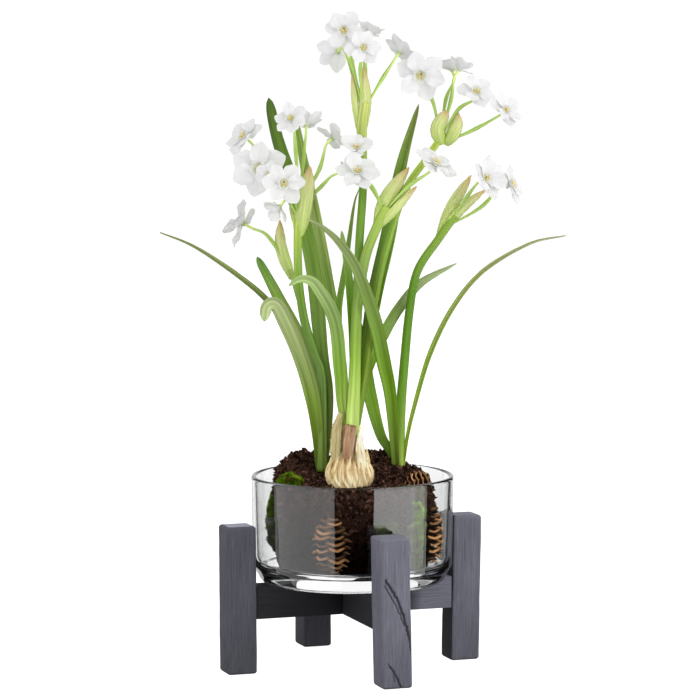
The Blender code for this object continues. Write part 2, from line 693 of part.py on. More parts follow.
def build_front_shoot(finish):
    top = FRONT_BULB.z + FRONT_PROFILE[-1][1]
    body = foot("shoot_front", FRONT_BULB, FRONT_FOOT, top - SOCKET_DEPTH + GAP, top + 6)
    limbs = [
        strap_leaf("inner_left", [(-3, -35, 180), (-6, -21, 222), (-10, -9, 250), (-16, 0, 281),
                                  (-28, 6, 345), (-36, 9, 384), (-42, 12, 417)], 10, taper=0.5,
                   tip=0.3, along=10),
        strap_leaf("curled", [(-3, -40, 180), (-7, -42, 205), (-8, -44, 229), (-12, -46, 266),
                              (-25, -49, 291), (-33, -50, 296.5), (-40, -49, 295.5), (-46, -48, 291)], 10,
                   taper=0.65, tip=0.2, along=13),
        strap_leaf("small", [(0, -35, 180), (2, -28, 235), (-1, -21, 290), (-7, -15, 330)], 6.5,
                   taper=0.6, tip=0.4, along=7),
        strap_leaf("thin", [(-3, -34.5, 180), (-7, -16, 234), (-9.5, -10, 269), (-4, -6, 306),
                            (2, 0, 347), (6, -2, 360)], 5.5, turn=(10, 30), along=8),
        strap_leaf("tall_right", [(2.5, -36, 180), (10, -26, 232), (17, -12, 278), (28, 3, 326),
                                  (38, 14, 378), (51, 20, 423)], 11.5, taper=0.5, tip=0.2, along=10),
        strap_leaf("right_mid", [(2.5, -34.5, 180), (12, -21, 225), (25, -4, 253), (37, 8, 272),
                                 (53, 20, 289), (80, 34, 302)], 8.5, turn=(0, 25), taper=0.6, along=9),
    ]
    finish_part(fuse(body, limbs + heads_of(("top", "upper_right", "middle"))), finish)


def build_right_shoot(finish):
    body = foot("shoot_right", RIGHT_BULB, SIDE_FOOT, RIGHT_BULB.z + 40 + GAP, 158)
    limbs = [
        strap_leaf("arching", [(34, -5, 148), (30, -16, 204), (25, -29, 232), (19, -41, 262),
                               (10.5, -49, 290), (3, -54, 308), (-8, -57, 324), (-20, -58, 335),
                               (-32, -58, 341)], 11, turn=(0, -30), taper=0.5, along=13),
        strap_leaf("far_right", [(39, -2, 148), (43, -2, 175), (49, -1, 200), (60, 2, 236),
                                 (77, 8, 270), (100, 16, 297), (135, 28, 317), (163, 36, 323)],
                   6, turn=(-50, -62), taper=0.5, along=13),
        strap_leaf("low", [(34, -1, 148), (30, 1, 162), (22, 4, 176), (14, 6, 207), (8, 7, 243),
                           (-2, 10, 285)], 10, tip=0.3, along=8),
    ]
    finish_part(fuse(body, limbs + heads_of(("right",))), finish)


clear_scene()
PARTS = make_collection("paperwhite_in_vase")
CUTTERS = make_collection("cutters", hidden=True)
MODEL = bpy.data.objects.new("model", None)
MODEL.location = (AXIS_X * MM, 0, 0)
PARTS.objects.link(MODEL)

timber = make_material("dark_timber", (0.09, 0.09, 0.11), 0.75)
glass = make_material("glass", (0.90, 0.95, 0.95), 0.05, alpha=0.35)
earth = make_material("soil", (0.035, 0.02, 0.015), 0.95)
moss = make_material("moss", (0.16, 0.25, 0.03), 0.95)
cone_brown = make_material("pine_cone", (0.30, 0.15, 0.07), 0.8)
bulb_skin = make_material("bulb_skin", (0.66, 0.50, 0.28), 0.7)
green = make_material("leaf_green", (0.13, 0.30, 0.05), 0.45)
white = make_material("petal_white", (0.88, 0.88, 0.90), 0.6)

build_stand(timber)
build_bowl(glass)
ground = build_soil(earth)
build_moss(ground, moss)
build_cones(ground, cone_brown)
build_bulbs(ground, bulb_skin)
build_left_shoot(green)
build_front_shoot(green)
build_right_shoot(green)
build_blooms(HEADS, white)
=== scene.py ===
import math
import random

import bpy
import numpy as np
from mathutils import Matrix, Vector, noise


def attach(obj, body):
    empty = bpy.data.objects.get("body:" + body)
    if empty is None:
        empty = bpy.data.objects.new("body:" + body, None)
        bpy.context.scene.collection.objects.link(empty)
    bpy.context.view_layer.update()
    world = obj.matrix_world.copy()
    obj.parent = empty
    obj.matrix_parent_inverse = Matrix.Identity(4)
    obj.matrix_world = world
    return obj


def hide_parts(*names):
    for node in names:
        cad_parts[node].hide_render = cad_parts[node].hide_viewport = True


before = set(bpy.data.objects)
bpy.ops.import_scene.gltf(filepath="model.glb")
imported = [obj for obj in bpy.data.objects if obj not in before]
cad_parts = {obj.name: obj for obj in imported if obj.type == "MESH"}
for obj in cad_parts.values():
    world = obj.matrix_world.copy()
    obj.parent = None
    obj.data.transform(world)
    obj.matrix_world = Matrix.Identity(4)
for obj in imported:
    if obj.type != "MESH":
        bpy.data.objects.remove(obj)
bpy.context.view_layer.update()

# Paperwhite narcissi growing from bulbs in a glass bowl on a dark timber stand.
# Sizes are in millimetres in the stand's frame: X to the right, Y to the back, Z up, the stand's
# axis at X 0, Y 0 and the feet at Z 0. The stage, lamps and camera are in metres.

MM = 0.001
AXIS_X = -9.4                  # the stand's axis in the world
RNG = random.Random(7)

# Stand
STAND_TURN = math.radians(19.3)
LEG_SIDE = 23.2
LEG_EDGE = 2.1                 # radius of a leg's softened edges
LEG_HEIGHT = 111.0
LEG_RADIUS = 89.4
BAR_TOP = 65.0
BAR_REACH = 160.0              # length that a crossbar's tones spread over
GAP = 0.3
# each leg: its place along and across the upper bar, how far it leans to the right in degrees, its
# tone (a little of it the wood's own, most of it painted shade for how much light reaches the leg) and the
# painted light on its end grain
LEGS = (("leg_left", -1, 0, -0.3, 0.48, 3.4), ("leg_right", 1, 0, 0.9, 0.82, 1.2),
        ("leg_front", 0, 1, -1.3, 0.91, 1.1), ("leg_back", 0, -1, 0.0, 0.32, 1.0))
INNER_FACE_SHADE = 0.25              # painted shade on the right leg's face towards the bowl
# painted shade on the bars, darkest where the bowl stands over them: turn from the upper bar, tones along it
BARS = (("crossbar_upper", 0, ((0.0, 0.10), (0.30, 0.07), (0.45, 0.02), (0.70, 0.02), (0.78, 0.97))),
        ("crossbar_lower", math.pi / 2, ((0.0, 0.14), (1.0, 0.14))))
# the long crack down the front leg's face and the shorter ones near it: (across, height) and size
CRACKS = (([(-8.2, 80.5), (-2.8, 72.5), (2.4, 61.8), (7.0, 47.0), (10.2, 33.6), (11.4, 22.9)], 0.55),
          ([(-8.8, 76.6), (0.0, 60.4), (5.4, 47.0)], 0.35),
          ([(-6.0, 16.5), (-1.4, 9.9), (3.4, -2.0)], 0.45),
          ([(-7.4, 19.0), (-4.0, 13.0), (-2.6, 6.0)], 0.3))

# Bowl
BOWL_FOOT = BAR_TOP + GAP
BOWL_TOP = 145.3
BOWL_FLOOR = 76.5
RIM_RADIUS = 76.2
WALL = 3.4
BOWL_CENTRE_X = 1.2
# the base from outside, as (radius, height above the foot): a short slanted facet, then the foot
BOWL_BASE = ((75.0, 12.4), (74.7, 11.7), (73.65, 9.6), (72.6, 7.5), (71.55, 5.4), (70.5, 3.3), (69.9, 2.4),
             (69.0, 1.2), (67.6, 0.3), (66.0, 0.0))

# Soil: mounds are x, y, rise and spread
SOIL_FLOOR = BOWL_FLOOR + GAP
SOIL_CENTRE_X = 1.5
SOIL_EDGE_HEIGHT = 140.0
SOIL_TOP_RADIUS = 51.0         # where the top starts to bend down
SOIL_BEND = 8.5                # how far that bend reaches out
SOIL_DROP = 0.13               # share of the height that it takes
SOIL_TAPER = 2.5               # how much narrower the soil is at its foot
SOIL_SIDES = 220
CRUMBS = 12000
CRUMB_SIZES = (0.5, 0.7, 1.0, 1.4, 2.0)
CRUMB_TONES = (0.25, 0.45, 0.8, 1.2, 2.8)
MOUNDS = ((0, 12, 14, 27), (-40, 2, 17.5, 14), (26, 10, 11, 18))

# Moss: middle, half sizes, the way it faces, tufts, and its painted light (how lit the pad is painted)
MOSS_PADS = (("moss_left", (-55.8, -12, 112), (7.2, 21.5, 27), (-1, -0.6, 0.3), 5200, 0.65),
             ("moss_top", (-45, -33, 144), (10.5, 10, 6), (0, -0.5, 1), 1500, 1.0),
             ("moss_front", (24, -57, 112), (11, 6, 8), (0, -1, 0.4), 1300, 1.0),
             ("moss_right", (47, -37, 110), (8, 8, 24), (0.6, -1, 0), 2400, 2.2))

# Cones: middle, half sizes, lean, rows of scales, how pale their lips are
CONES = (("pine_cone_front", (-13, -52, 100), (14, 14, 22.5), 0.0, 10, 1.0),
         ("pine_cone_right", (58.5, -10, 101), (9.5, 12, 23.5), 0.0, 9, 2.2),
         ("pine_cone_top", (49, -27, 144), (6.5, 6.5, 10), math.radians(80), 6, 1.5))
ROUND = 7                      # scales in one turn of a cone
DROP = 5                       # rows that the slanting line of scales falls in one turn

# Front bulb: its outline as (radius, height)
FRONT_BULB = (-1.0, -38.0, 139.0)
BULB_HEIGHT = 48
BULB_OUTLINE = ((7.5, -0.8), (11.5, 0), (14.7, 2), (17.1, 6.5), (17.9, 11), (17.7, 14.4), (15.4, 20),
                (13.3, 24.7), (10.2, 31), (8.6, 39), (7.6, 48))
# wrinkles that run up it: how many go round, their size and where they start
WRINKLES = ((9, 0.75, 0.3), (16, 0.55, 1.7), (27, 0.32, 0.9))
# loose flaps of skin round its neck: points from root to tip, widths, turn, tint
FLAPS = (
    ([(-10.5, -46, 158), (-10.4, -45, 170), (-9.6, -44, 184), (-7.2, -43, 197)], (4, 8.5, 8.5, 7.5, 3), -25,
     (0.58, 0.60, 0.46)),
    ([(7.5, -50, 152), (7.0, -49, 164), (5.8, -48, 176), (9.0, -47, 189)], (4, 8.5, 7, 5, 1.2), 20,
     (0.95, 1.08, 1.42)),
    ([(10.5, -45, 156), (11.5, -44, 163), (11.3, -43, 170)], (4, 5, 3, 1), 50, (1.0, 0.93, 0.8)),
    ([(-1.5, -50.5, 156), (-2.0, -49.5, 168), (-1, -48.5, 179), (0.5, -47.5, 188)], (3, 6, 8, 8.5, 8), 0,
     (0.50, 0.36, 0.34)),
    ([(4, -30, 165), (4.5, -29, 176), (5, -29, 184)], (7, 9, 7, 3), 170, (0.95, 0.9, 0.8)),
    ([(-7, -32, 165), (-7.5, -31, 176), (-7.5, -31, 185)], (6, 8, 6, 2), 150, (0.9, 0.86, 0.78)),
)

# Stalks and sheaths, from root to tip
STALK_RADII = (0.85, 0.85, 0.9, 1.05, 1.35, 1.6, 1.3, 1.0, 1.0, 1.2)
STALK_COLOURS = ("#98b266", "#a6c072", "#a2bc74", "#9cb66c", "#b6cc8e", "#d5e2b0")
SHEATH_OUTLINE = (0.5, 0.8, 0.97, 1.0, 0.97, 0.88, 0.62, 0.10)
SHEATH_COLOURS = ("#b8d060", "#c8dc78", "#d2e084", "#d5e18c", "#d8de94", "#d8d290", "#d0a866")

# Flowers: the pattern flower's petals, cup (radius, height, greenness) and anthers
PATTERN_RADIUS = 16.0
PETAL_OUTLINE = ((0, 0.22), (0.15, 0.46), (0.3, 0.76), (0.45, 0.96), (0.6, 1.0), (0.75, 0.86), (0.87, 0.58),
                 (0.95, 0.30), (1.0, 0.03))
# the outer ring's petals, then the inner ring's: length as a share of the flower's radius, width,
# height of the root, and how many degrees steeper they stand
PETAL_RINGS = ((1.04, 12.2, -0.6, 0), (1.0, 11.3, 0.5, 8))
# degrees that the petals of each form rise from flat
PETAL_RISE = {"open": 6, "cupped": 26}
PETAL_WHITE = np.array((0.945, 0.942, 0.952))
CUP_PROFILE = ((1.25, -2.6, 0.85), (1.5, -1.8, 0.6), (2.1, -0.8, 0.35), (2.6, 0.2, 0.12), (3.2, 1.4, 0),
               (3.75, 2.5, 0), (4.1, 3.3, 0), (3.85, 3.35, 0), (3.45, 2.4, 0), (2.9, 1.3, 0.12),
               (2.2, 0.5, 0.5), (1.2, 0.1, 0.85), (0.05, 0.0, 1.0))
CUP_WHITE = np.array((0.93, 0.93, 0.91))
STAMENS = ((1.7, 2.9), (1.0, 1.5))    # how far out and how high the anthers of the two rings are
ANTHER = ("#c8a61e", "#ecca28", "#f0d844", "#d8b42c")
OLD_ANTHER = ("#6a4a1c", "#94702c", "#8a6226", "#6a4a1c")

# Stage. Cards: bearing from, to (0 faces the camera), lowest, highest, distance, strength, colour.
# The backdrop is a white surround, the cards show as pale veils in the bowl's front, and the flags
# round them are dark.
FLOOR_HALF = 4.0
FAR_GLOW = 1.45
NEAR_RADIUS = 0.3              # the dim round of ground under the stand
NEAR_GLOW = 0.02
CARD_STEPS = 24
CARDS = (
    ("backdrop", 0, 360, -14.0, 8.0, 7.0, 1.05),
    ("card_left", -99, -20.6, -4.0, 0.15, 2.0, 1.35),
    ("card_right", 24, 76, -4.0, 0.15, 2.0, 2.85),
    ("card_right_end", 76, 92, -4.0, 0.15, 2.0, 2.2, (0.94, 1.0, 0.86)),
    ("card_left_high", -99, -20.6, 0.15, 3.5, 2.0, 0.8),
    ("card_right_high", 24, 92, 0.15, 3.5, 2.0, 1.2),
    ("flag_front", -20.6, 24, -4.0, 0.4, 2.0, 0.0),
    ("flag_front_high", -20.6, 24, 0.4, 3.5, 2.0, 0.35),
    ("flag_right", 92, 156, -4.0, 0.4, 1.8, 0.02),
    ("flag_right_high", 92, 156, 0.4, 1.5, 1.8, 0.06),
    ("flag_left", -149, -99, -4.0, 0.4, 1.8, 0.02),
    ("flag_left_high", -149, -99, 0.4, 1.5, 1.8, 0.35),
)
SKY_STRENGTH = 1.35
LAMP_AIM = Vector((0.0, 0.0, 0.25))
# place, side of the square, watts
LAMPS = (("key_right", (1.0, -1.1, 0.95), 0.8, 7), ("fill_left", (-1.0, -0.9, 1.6), 1.2, 2),
         ("top", (0.1, -0.1, 2.2), 2.2, 4))
CAMERA_AIM = Vector((AXIS_X - 0.68, 0, 239.3)) * MM
CAMERA_ELEVATION = math.radians(5.59)
CAMERA_DISTANCE = 2.55
CAMERA_SENSOR = 36
CAMERA_LENS = CAMERA_SENSOR * 3400 / 700

# Flower stems: clump, points from the bulb to the head, radius, and colours from foot to head
STEMS = {
    "top": ("front", ((1, -37, 180), (3.4, -30, 246), (6, -21, 317), (9, -13, 363), (9, -8, 405),
            (11, -7, 425)), 3.4, ("#adc95d", "#7f9f44", "#6a8f3c", "#688c2e", "#b9bf7c")),
    "upper_right": ("front", ((2, -38, 180), (10, -35, 225), (17, -22, 275), (26, -11, 315), (40, -3, 358),
            (56, 4, 382), (70, 9, 402)), 3.0, ("#6a8910", "#617a1a", "#7e9f45", "#afbf5c")),
    "middle": ("front", ((0.4, -42, 180), (2.6, -41, 221), (4, -38, 265), (6, -34, 284), (11, -28, 312),
            (20, -24, 335), (27, -24, 348)), 4.2, ("#b4c880", "#88aa40", "#7a9454", "#9fb75c")),
    "left": ("left", ((-22, -15, 150), (-22, -17, 218), (-27, -18, 237), (-34.8, -19, 264),
            (-38.8, -20, 294), (-39.5, -20, 328), (-38, -19, 356)), 3.5,
            ("#657c32", "#7d9d5b", "#6b9234", "#b4c568")),
    "side": ("left", ((-20, -11, 150), (-25, -5, 203), (-31, -2, 240), (-36, -2, 266), (-41, -3, 285),
            (-45, -4, 300)), 2.2, ("#4d630e", "#82a13b", "#688b31", "#9aae6a")),
    "right": ("right", ((36, -2, 148), (37, -3, 190), (40, -3, 230), (44, -1, 270), (50, 2, 299),
            (66, 5, 323), (78, 6, 340)), 3.5, ("#829c37", "#5b8617", "#548012", "#8aa848")),
}

# Flowers: form, roll, middle, facing, radius, share of the stem where the stalk starts, stalk's way
HEADS = {
    "top": (
        ("open", 25, (-5, -18, 478), (-0.15, -0.95, 0.1), 16.5, 0.97, (3, -8, 445)),
        ("cupped", 0, (-10, 8, 462), (-0.45, 0.8, -0.3), 16.5, 0.95, (1, -2, 447)),
        ("open", 30, (9, -34, 465), (0.1, -0.9, 0.28), 15.0, 0.98, (7, -13, 444)),
        ("cupped", 20, (13, 10, 475), (0.35, 0.35, 0.85), 13.5, 0.98, (11, 0, 443)),
        ("open", 0, (36.5, 4, 462), (0.5, 0.45, 0.7), 15.5, 0.98, (22, -4, 440)),
    ),
    "upper_right": (
        ("open", 12, (51.5, -14, 445), (0.0, -0.97, -0.1), 20.0, 0.97, (62, 3, 422)),
        ("cupped", 25, (76, 20, 448.5), (-0.15, 0.45, 0.85), 14.5, 0.98, (71, 14, 426)),
        ("open", 15, (93, -9, 432), (0.15, -0.75, 0.6), 16.0, 0.98, (80, 5, 419)),
        ("open", 0, (115, 8, 418), (0.6, -0.6, 0.5), 15.0, 0.95, (88, 10, 402)),
        ("cupped", 10, (80.5, 1, 449), (0.45, 0.1, 0.85), 13.0, 0.98, (75, 6, 428)),
    ),
    "middle": (
        ("open", 20, (5, -53, 375), (0.0, -0.72, 0.69), 18.0, 0.97, (16, -30, 363)),
        ("cupped", 0, (4, -27, 391), (0.05, -0.6, 0.8), 15.0, 0.98, (11, -22, 369)),
        ("open", 40, (62, -28, 380), (0.52, -0.42, 0.74), 19.0, 0.98, (42, -27, 363)),
    ),
    "left": (
        ("open", 0, (-79, -5.5, 399), (-0.6, -0.5, 0.6), 17.5, 0.96, (-59, -13, 376)),
        ("open", 0, (-68, -26, 376), (-0.1, -0.97, 0.15), 22.5, 0.95, (-54, -24, 368)),
        ("cupped", 0, (-60, -46, 372), (-0.4, -0.8, 0.4), 12.0, 0.94, (-45, -39, 361)),
        ("open", 30, (-49, -60, 367), (0.1, -0.98, 0.1), 17.0, 0.93, (-44, -34, 362)),
        ("cupped", 0, (-53, -24, 348), (-0.65, 0.2, -0.7), 14.0, 0.92, (-44, -24, 349)),
        ("open", 15, (-44, -32, 413), (-0.2, -0.8, 0.5), 14.0, 0.98, (-41, -17, 390)),
        ("cupped", 0, (-33, -6, 408), (0.05, 0.6, 0.8), 14.5, 0.98, (-35, -10, 385)),
        ("open", 30, (-13.5, -5, 398.5), (0.58, 0.45, 0.68), 15.0, 0.97, (-24, -16, 374)),
        ("cupped", 0, (-6, -20, 374), (0.85, -0.1, 0.35), 12.0, 0.95, (-19, -19, 366)),
    ),
    "side": (
        ("open", 0, (-81.3, -2, 335), (-0.8, 0.3, 0.42), 19.0, 0.97, (-61, -4, 324)),
    ),
    "right": (
        ("cupped", 0, (99.3, -14, 368), (0.62, -0.68, 0.4), 18.5, 0.97, (85, -1, 352)),
        ("open", 0, (119.5, 10, 363), (0.85, -0.42, 0.25), 16.5, 0.95, (97, 5, 346)),
    ),
}

# Sheaths under the heads: points from root to tip, width and turn
SPATHES = {
    "top": (
        (((7, -8, 396), (11.4, -9, 425), (9.4, -12, 451)), 9.5, 15),
        (((7, -7, 396), (2.4, -6, 422), (0.4, -9, 446)), 6, -30),
    ),
    "upper_right": (
        (((68.5, 5, 393), (65.5, 1, 405), (72, -3, 418.5)), 11.5, 10),
        (((70, 6, 393), (76.5, 3, 404), (80, 5, 417)), 11, -20),
    ),
    "middle": (
        (((19, -24, 331), (26, -24, 353), (43, -18, 377)), 11, 0),
        (((20, -24, 331), (34, -26, 345), (49, -20, 363)), 9, 40),
    ),
    "left": (
        (((-39, -21.5, 326), (-36, -25, 348), (-30.5, -25, 378)), 14, -10),
        (((-38, -20, 328), (-42, -17, 350), (-41, -15, 370)), 8, 60),
    ),
    "side": (
        (((-44, -4, 293), (-52, -5, 316), (-53, -4, 337)), 9, 0),
    ),
    "right": (
        (((65, 5, 322), (75, 8, 347), (90, 10, 370)), 9.5, -20),
        (((68, 5, 326), (84, 4, 344), (101, 6, 359)), 8.5, 30),
    ),
}

# Leaves of each clump: points, width, (turn at foot, at tip), taper, tip, colours from foot to tip
LEAVES = {
    "left": (
        ("far_left", ((-21, -12, 150), (-24, -11, 188), (-33, -8, 222), (-49, -3, 256), (-64, 2, 277),
         (-89, 10, 297), (-119, 18, 316), (-144, 24, 326)), 6.0, (20, 62), 0.5, 0.12,
         ("#4d6a10", "#648214", "#7e8e5c", "#7d8a60")),
        ("blunt", ((-23, -14, 150), (-25, -14, 192), (-36, -13, 243), (-54, -12, 280), (-70, -9, 310)), 9.5,
         (0, 0), 0.6, 0.5, ("#405606", "#97b156", "#8ba54c", "#4f7a30")),
        ("bent", ((-23, -17, 150), (-25, -19, 181), (-29, -22, 209), (-37, -26, 237), (-47, -30, 261),
         (-55, -34, 276), (-62, -36, 275), (-64, -37, 264)), 12, (0, 0), 0.75, 0.5,
         ("#4a6010", "#728e27", "#91a074", "#a4b094")),
        ("tall", ((-20, -11, 150), (-17, -11, 203), (-22, -9, 240), (-29, -5, 306), (-41, -1, 356),
         (-54.3, 2, 396), (-61.4, 4, 428)), 11, (0, 0), 0.6, 0.62,
         ("#43550a", "#769348", "#6a8a34", "#3c5514")),
    ),
    "front": (
        ("inner_left", ((-3, -35, 180), (-6, -21, 222), (-10, -9, 250), (-16, 0, 281), (-28, 6, 345),
         (-36, 9, 384), (-42, 12, 417)), 10, (0, 0), 0.5, 0.3,
         ("#8a9a45", "#7c9e40", "#97a96f", "#7c9a50")),
        ("curled", ((-3, -40, 180), (-7, -42, 205), (-8, -44, 229), (-12, -46, 266), (-25, -49, 291),
         (-33, -50, 296.5), (-40, -49, 295.5), (-46, -48, 291)), 10, (0, 0), 0.65, 0.2,
         ("#8a9a50", "#678e19", "#748c55", "#a0b68b")),
        ("small", ((0, -35, 180), (2, -28, 235), (-1, -21, 290), (-7, -15, 330)), 6.5, (0, 0), 0.6, 0.4,
         ("#b5c566", "#668f0f", "#669221", "#82985c")),
        ("thin", ((-3, -34.5, 180), (-7, -16, 234), (-9.5, -10, 269), (-4, -6, 306), (2, 0, 347),
         (6, -2, 360)), 5.5, (10, 30), 0.45, 0.12, ("#9f9e63", "#648916", "#799b4a", "#7e8d56")),
        ("tall_right", ((2.5, -36, 180), (10, -26, 232), (17, -12, 278), (28, 3, 326), (38, 14, 378),
         (51, 20, 423)), 11.5, (0, 0), 0.5, 0.2, ("#a8b868", "#5a7b13", "#5f831b", "#6e7c41")),
        ("right_mid", ((2.5, -34.5, 180), (12, -21, 225), (25, -4, 253), (37, 8, 272), (53, 20, 289),
         (80, 34, 302)), 8.5, (0, 25), 0.6, 0.12, ("#968250", "#709814", "#748958", "#95a38c")),
    ),
    "right": (
        ("arching", ((34, -5, 148), (30, -16, 204), (25, -29, 232), (19, -41, 262), (10.5, -49, 290),
         (3, -54, 308), (-8, -57, 324), (-20, -58, 335), (-32, -58, 341)), 11, (0, -30), 0.5, 0.12,
         ("#4d5c1a", "#688f0b", "#6e8843", "#919c7e")),
        ("far_right", ((39, -2, 148), (43, -2, 175), (49, -1, 200), (60, 2, 236), (77, 8, 270),
         (100, 16, 297), (135, 28, 317), (163, 36, 323)), 6, (-50, -62), 0.5, 0.12,
         ("#9fb440", "#86a040", "#8f9a68", "#949687")),
        ("low", ((34, -1, 148), (30, 1, 162), (22, 4, 176), (14, 6, 207), (8, 7, 243), (-2, 10, 285)), 10,
         (0, 0), 0.45, 0.3, ("#415c05", "#7da531", "#6b8e21", "#5f8a18")),
    ),
}


def linear(value):
    return value / 12.92 if value <= 0.04045 else ((value + 0.055) / 1.055) ** 2.4


def rgb(text):
    """A linear colour from its usual hexadecimal form."""
    return tuple(linear(int(text[i:i + 2], 16) / 255) for i in (1, 3, 5))


def rgbs(texts):
    return np.array([rgb(text) for text in texts])


def smooth_route(points, count):
    """Points spread evenly along a Catmull-Rom curve through the given ones."""
    knots = [np.array(point, float) for point in points]
    knots = [2 * knots[0] - knots[1]] + knots + [2 * knots[-1] - knots[-2]]
    fine = []
    for a, b, c, d in zip(knots, knots[1:], knots[2:], knots[3:]):
        for t in np.arange(12) / 12:
            fine.append(0.5 * (2 * b + (c - a) * t + (2 * a - 5 * b + 4 * c - d) * t ** 2
                               + (3 * b - a - 3 * c + d) * t ** 3))
    fine = np.array(fine + [knots[-2]])
    lengths = run_lengths(fine)
    wanted = np.linspace(0, lengths[-1], count)
    return np.stack([np.interp(wanted, lengths, fine[:, axis]) for axis in range(3)], 1)


def run_lengths(route):
    return np.r_[0, np.cumsum(np.linalg.norm(np.diff(route, axis=0), axis=1))]


def unit(vectors):
    vectors = np.asarray(vectors, float)
    return vectors / np.maximum(np.linalg.norm(vectors, axis=-1, keepdims=True), 1e-9)


def tangents(route):
    ways = np.empty_like(route)
    ways[1:-1] = route[2:] - route[:-2]
    ways[0] = route[1] - route[0]
    ways[-1] = route[-1] - route[-2]
    return unit(ways)


def between(stops, share):
    """Values at shares of the way along evenly spaced stops."""
    stops = np.asarray(stops, float)
    places = np.linspace(0, 1, len(stops))
    if stops.ndim == 1:
        return np.interp(share, places, stops)
    return np.stack([np.interp(share, places, column) for column in stops.T], -1)


def spin(vectors, axes, angles):
    """Turn vectors about unit axes by angles."""
    angles = np.asarray(angles, float)[..., None]
    dots = np.sum(vectors * axes, -1, keepdims=True)
    return (vectors * np.cos(angles) + np.cross(axes, vectors) * np.sin(angles)
            + axes * dots * (1 - np.cos(angles)))


def wobble(points, size, seed=0.0):
    """Smooth noise from -1 to 1 at each point of a grid; size is its grain in millimetres."""
    shift = Vector((seed * 17.3, seed * 5.1, seed * 9.7))
    values = [noise.noise(Vector(p) / size + shift) for p in points.reshape(-1, 3)]
    return np.array(values).reshape(points.shape[:-1])


def ring_angles(sides):
    return np.arange(sides) / sides * math.tau


def turned_points(profile, sides):
    """Rings of points from a (radius, height) profile."""
    angles = ring_angles(sides)
    profile = np.array(profile, float)
    ring = np.stack([np.cos(angles), np.sin(angles)], -1)
    flat = profile[:, None, :1] * ring[None]
    heights = np.broadcast_to(profile[:, 1][:, None, None], flat.shape[:2] + (1,))
    return np.concatenate([flat, heights], -1)


def arc(centre, radius, start, stop, steps):
    angles = np.radians(np.linspace(start, stop, steps))
    return [(centre[0] + radius * math.cos(a), centre[1] + radius * math.sin(a)) for a in angles]


def jitter(low, high, rows):
    return np.array([[RNG.uniform(low, high) for _ in range(3)] for _ in range(rows)])


class Shape:
    """Faces, and what the shaders read at their corners, gathered before they become one mesh."""

    def __init__(self):
        self.verts = []
        self.quads = []
        self.tris = []
        self.values = {"tint": [], "across": [], "along": []}
        self.count = 0

    def add(self, verts, quads=(), tris=(), tint=(1, 1, 1), across=0.0, along=0.0):
        number = len(verts)
        self.verts.append(np.asarray(verts, float))
        self.quads.append(np.asarray(quads, int).reshape(-1, 4) + self.count)
        self.tris.append(np.asarray(tris, int).reshape(-1, 3) + self.count)
        self.values["tint"].append(np.broadcast_to(tint, (number, 3)))
        self.values["across"].append(np.broadcast_to(across, (number,)))
        self.values["along"].append(np.broadcast_to(along, (number,)))
        self.count += number

    def skin(self, points, tint=(1, 1, 1), across=0.0, along=0.0):
        """A closed skin through rings of points, with a fan of faces over each end."""
        rows, cols = points.shape[:2]
        index = np.arange(rows * cols).reshape(rows, cols)
        a, b = index[:-1], index[1:]
        quads = np.stack([a, np.roll(a, -1, 1), np.roll(b, -1, 1), b], -1)
        first, last = index[0], index[-1]
        start = np.stack([np.roll(first, -1), first, np.full(cols, rows * cols)], -1)
        stop = np.stack([last, np.roll(last, -1), np.full(cols, rows * cols + 1)], -1)
        verts = np.concatenate([points.reshape(-1, 3), points[:1].mean(1), points[-1:].mean(1)])

        def spread(value, *width):
            value = np.broadcast_to(value, (rows, cols) + width).reshape((-1,) + width)
            return np.concatenate([value, value[:1], value[-1:]])

        self.add(verts, quads, np.concatenate([start, stop]), spread(tint, 3), spread(across), spread(along))

    def mesh(self, name):
        verts = (np.concatenate(self.verts) + (AXIS_X, 0, 0)) * MM
        quads = np.concatenate(self.quads)
        tris = np.concatenate(self.tris)
        mesh = bpy.data.meshes.new(name)
        mesh.vertices.add(len(verts))
        mesh.vertices.foreach_set("co", verts.ravel())
        corners = np.concatenate([quads.ravel(), tris.ravel()])
        mesh.loops.add(len(corners))
        mesh.loops.foreach_set("vertex_index", corners)
        starts = np.concatenate([np.arange(len(quads)) * 4, quads.size + np.arange(len(tris)) * 3])
        mesh.polygons.add(len(starts))
        mesh.polygons.foreach_set("loop_start", starts)
        mesh.update(calc_edges=True)
        mesh.validate()
        for key in ("across", "along"):
            layer = mesh.attributes.new(key, "FLOAT", "POINT")
            layer.data.foreach_set("value", np.concatenate(self.values[key]).astype(np.float32))
        tint = np.concatenate(self.values["tint"])
        layer = mesh.attributes.new("tint", "FLOAT_COLOR", "POINT")
        layer.data.foreach_set("color", np.c_[tint, np.ones(len(tint))].astype(np.float32).ravel())
        return mesh


def piece(name, shape, finish, node, smooth=True, angle=None):
    """Make a piece of the object: it rides on the only body and stands for its node."""
    mesh = shape.mesh(name)
    item = bpy.data.objects.new(name, mesh)
    bpy.context.scene.collection.objects.link(item)
    mesh.materials.append(finish)
    if smooth:
        mesh.shade_smooth()
    if angle:
        mesh.set_sharp_from_angle(angle=math.radians(angle))
    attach(item, "root")
    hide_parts(node)
    return item


def refinish(name, finish):
    """Give its material to a solid that stays in view as it is."""
    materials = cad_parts[name].data.materials
    materials.clear()
    materials.append(finish)


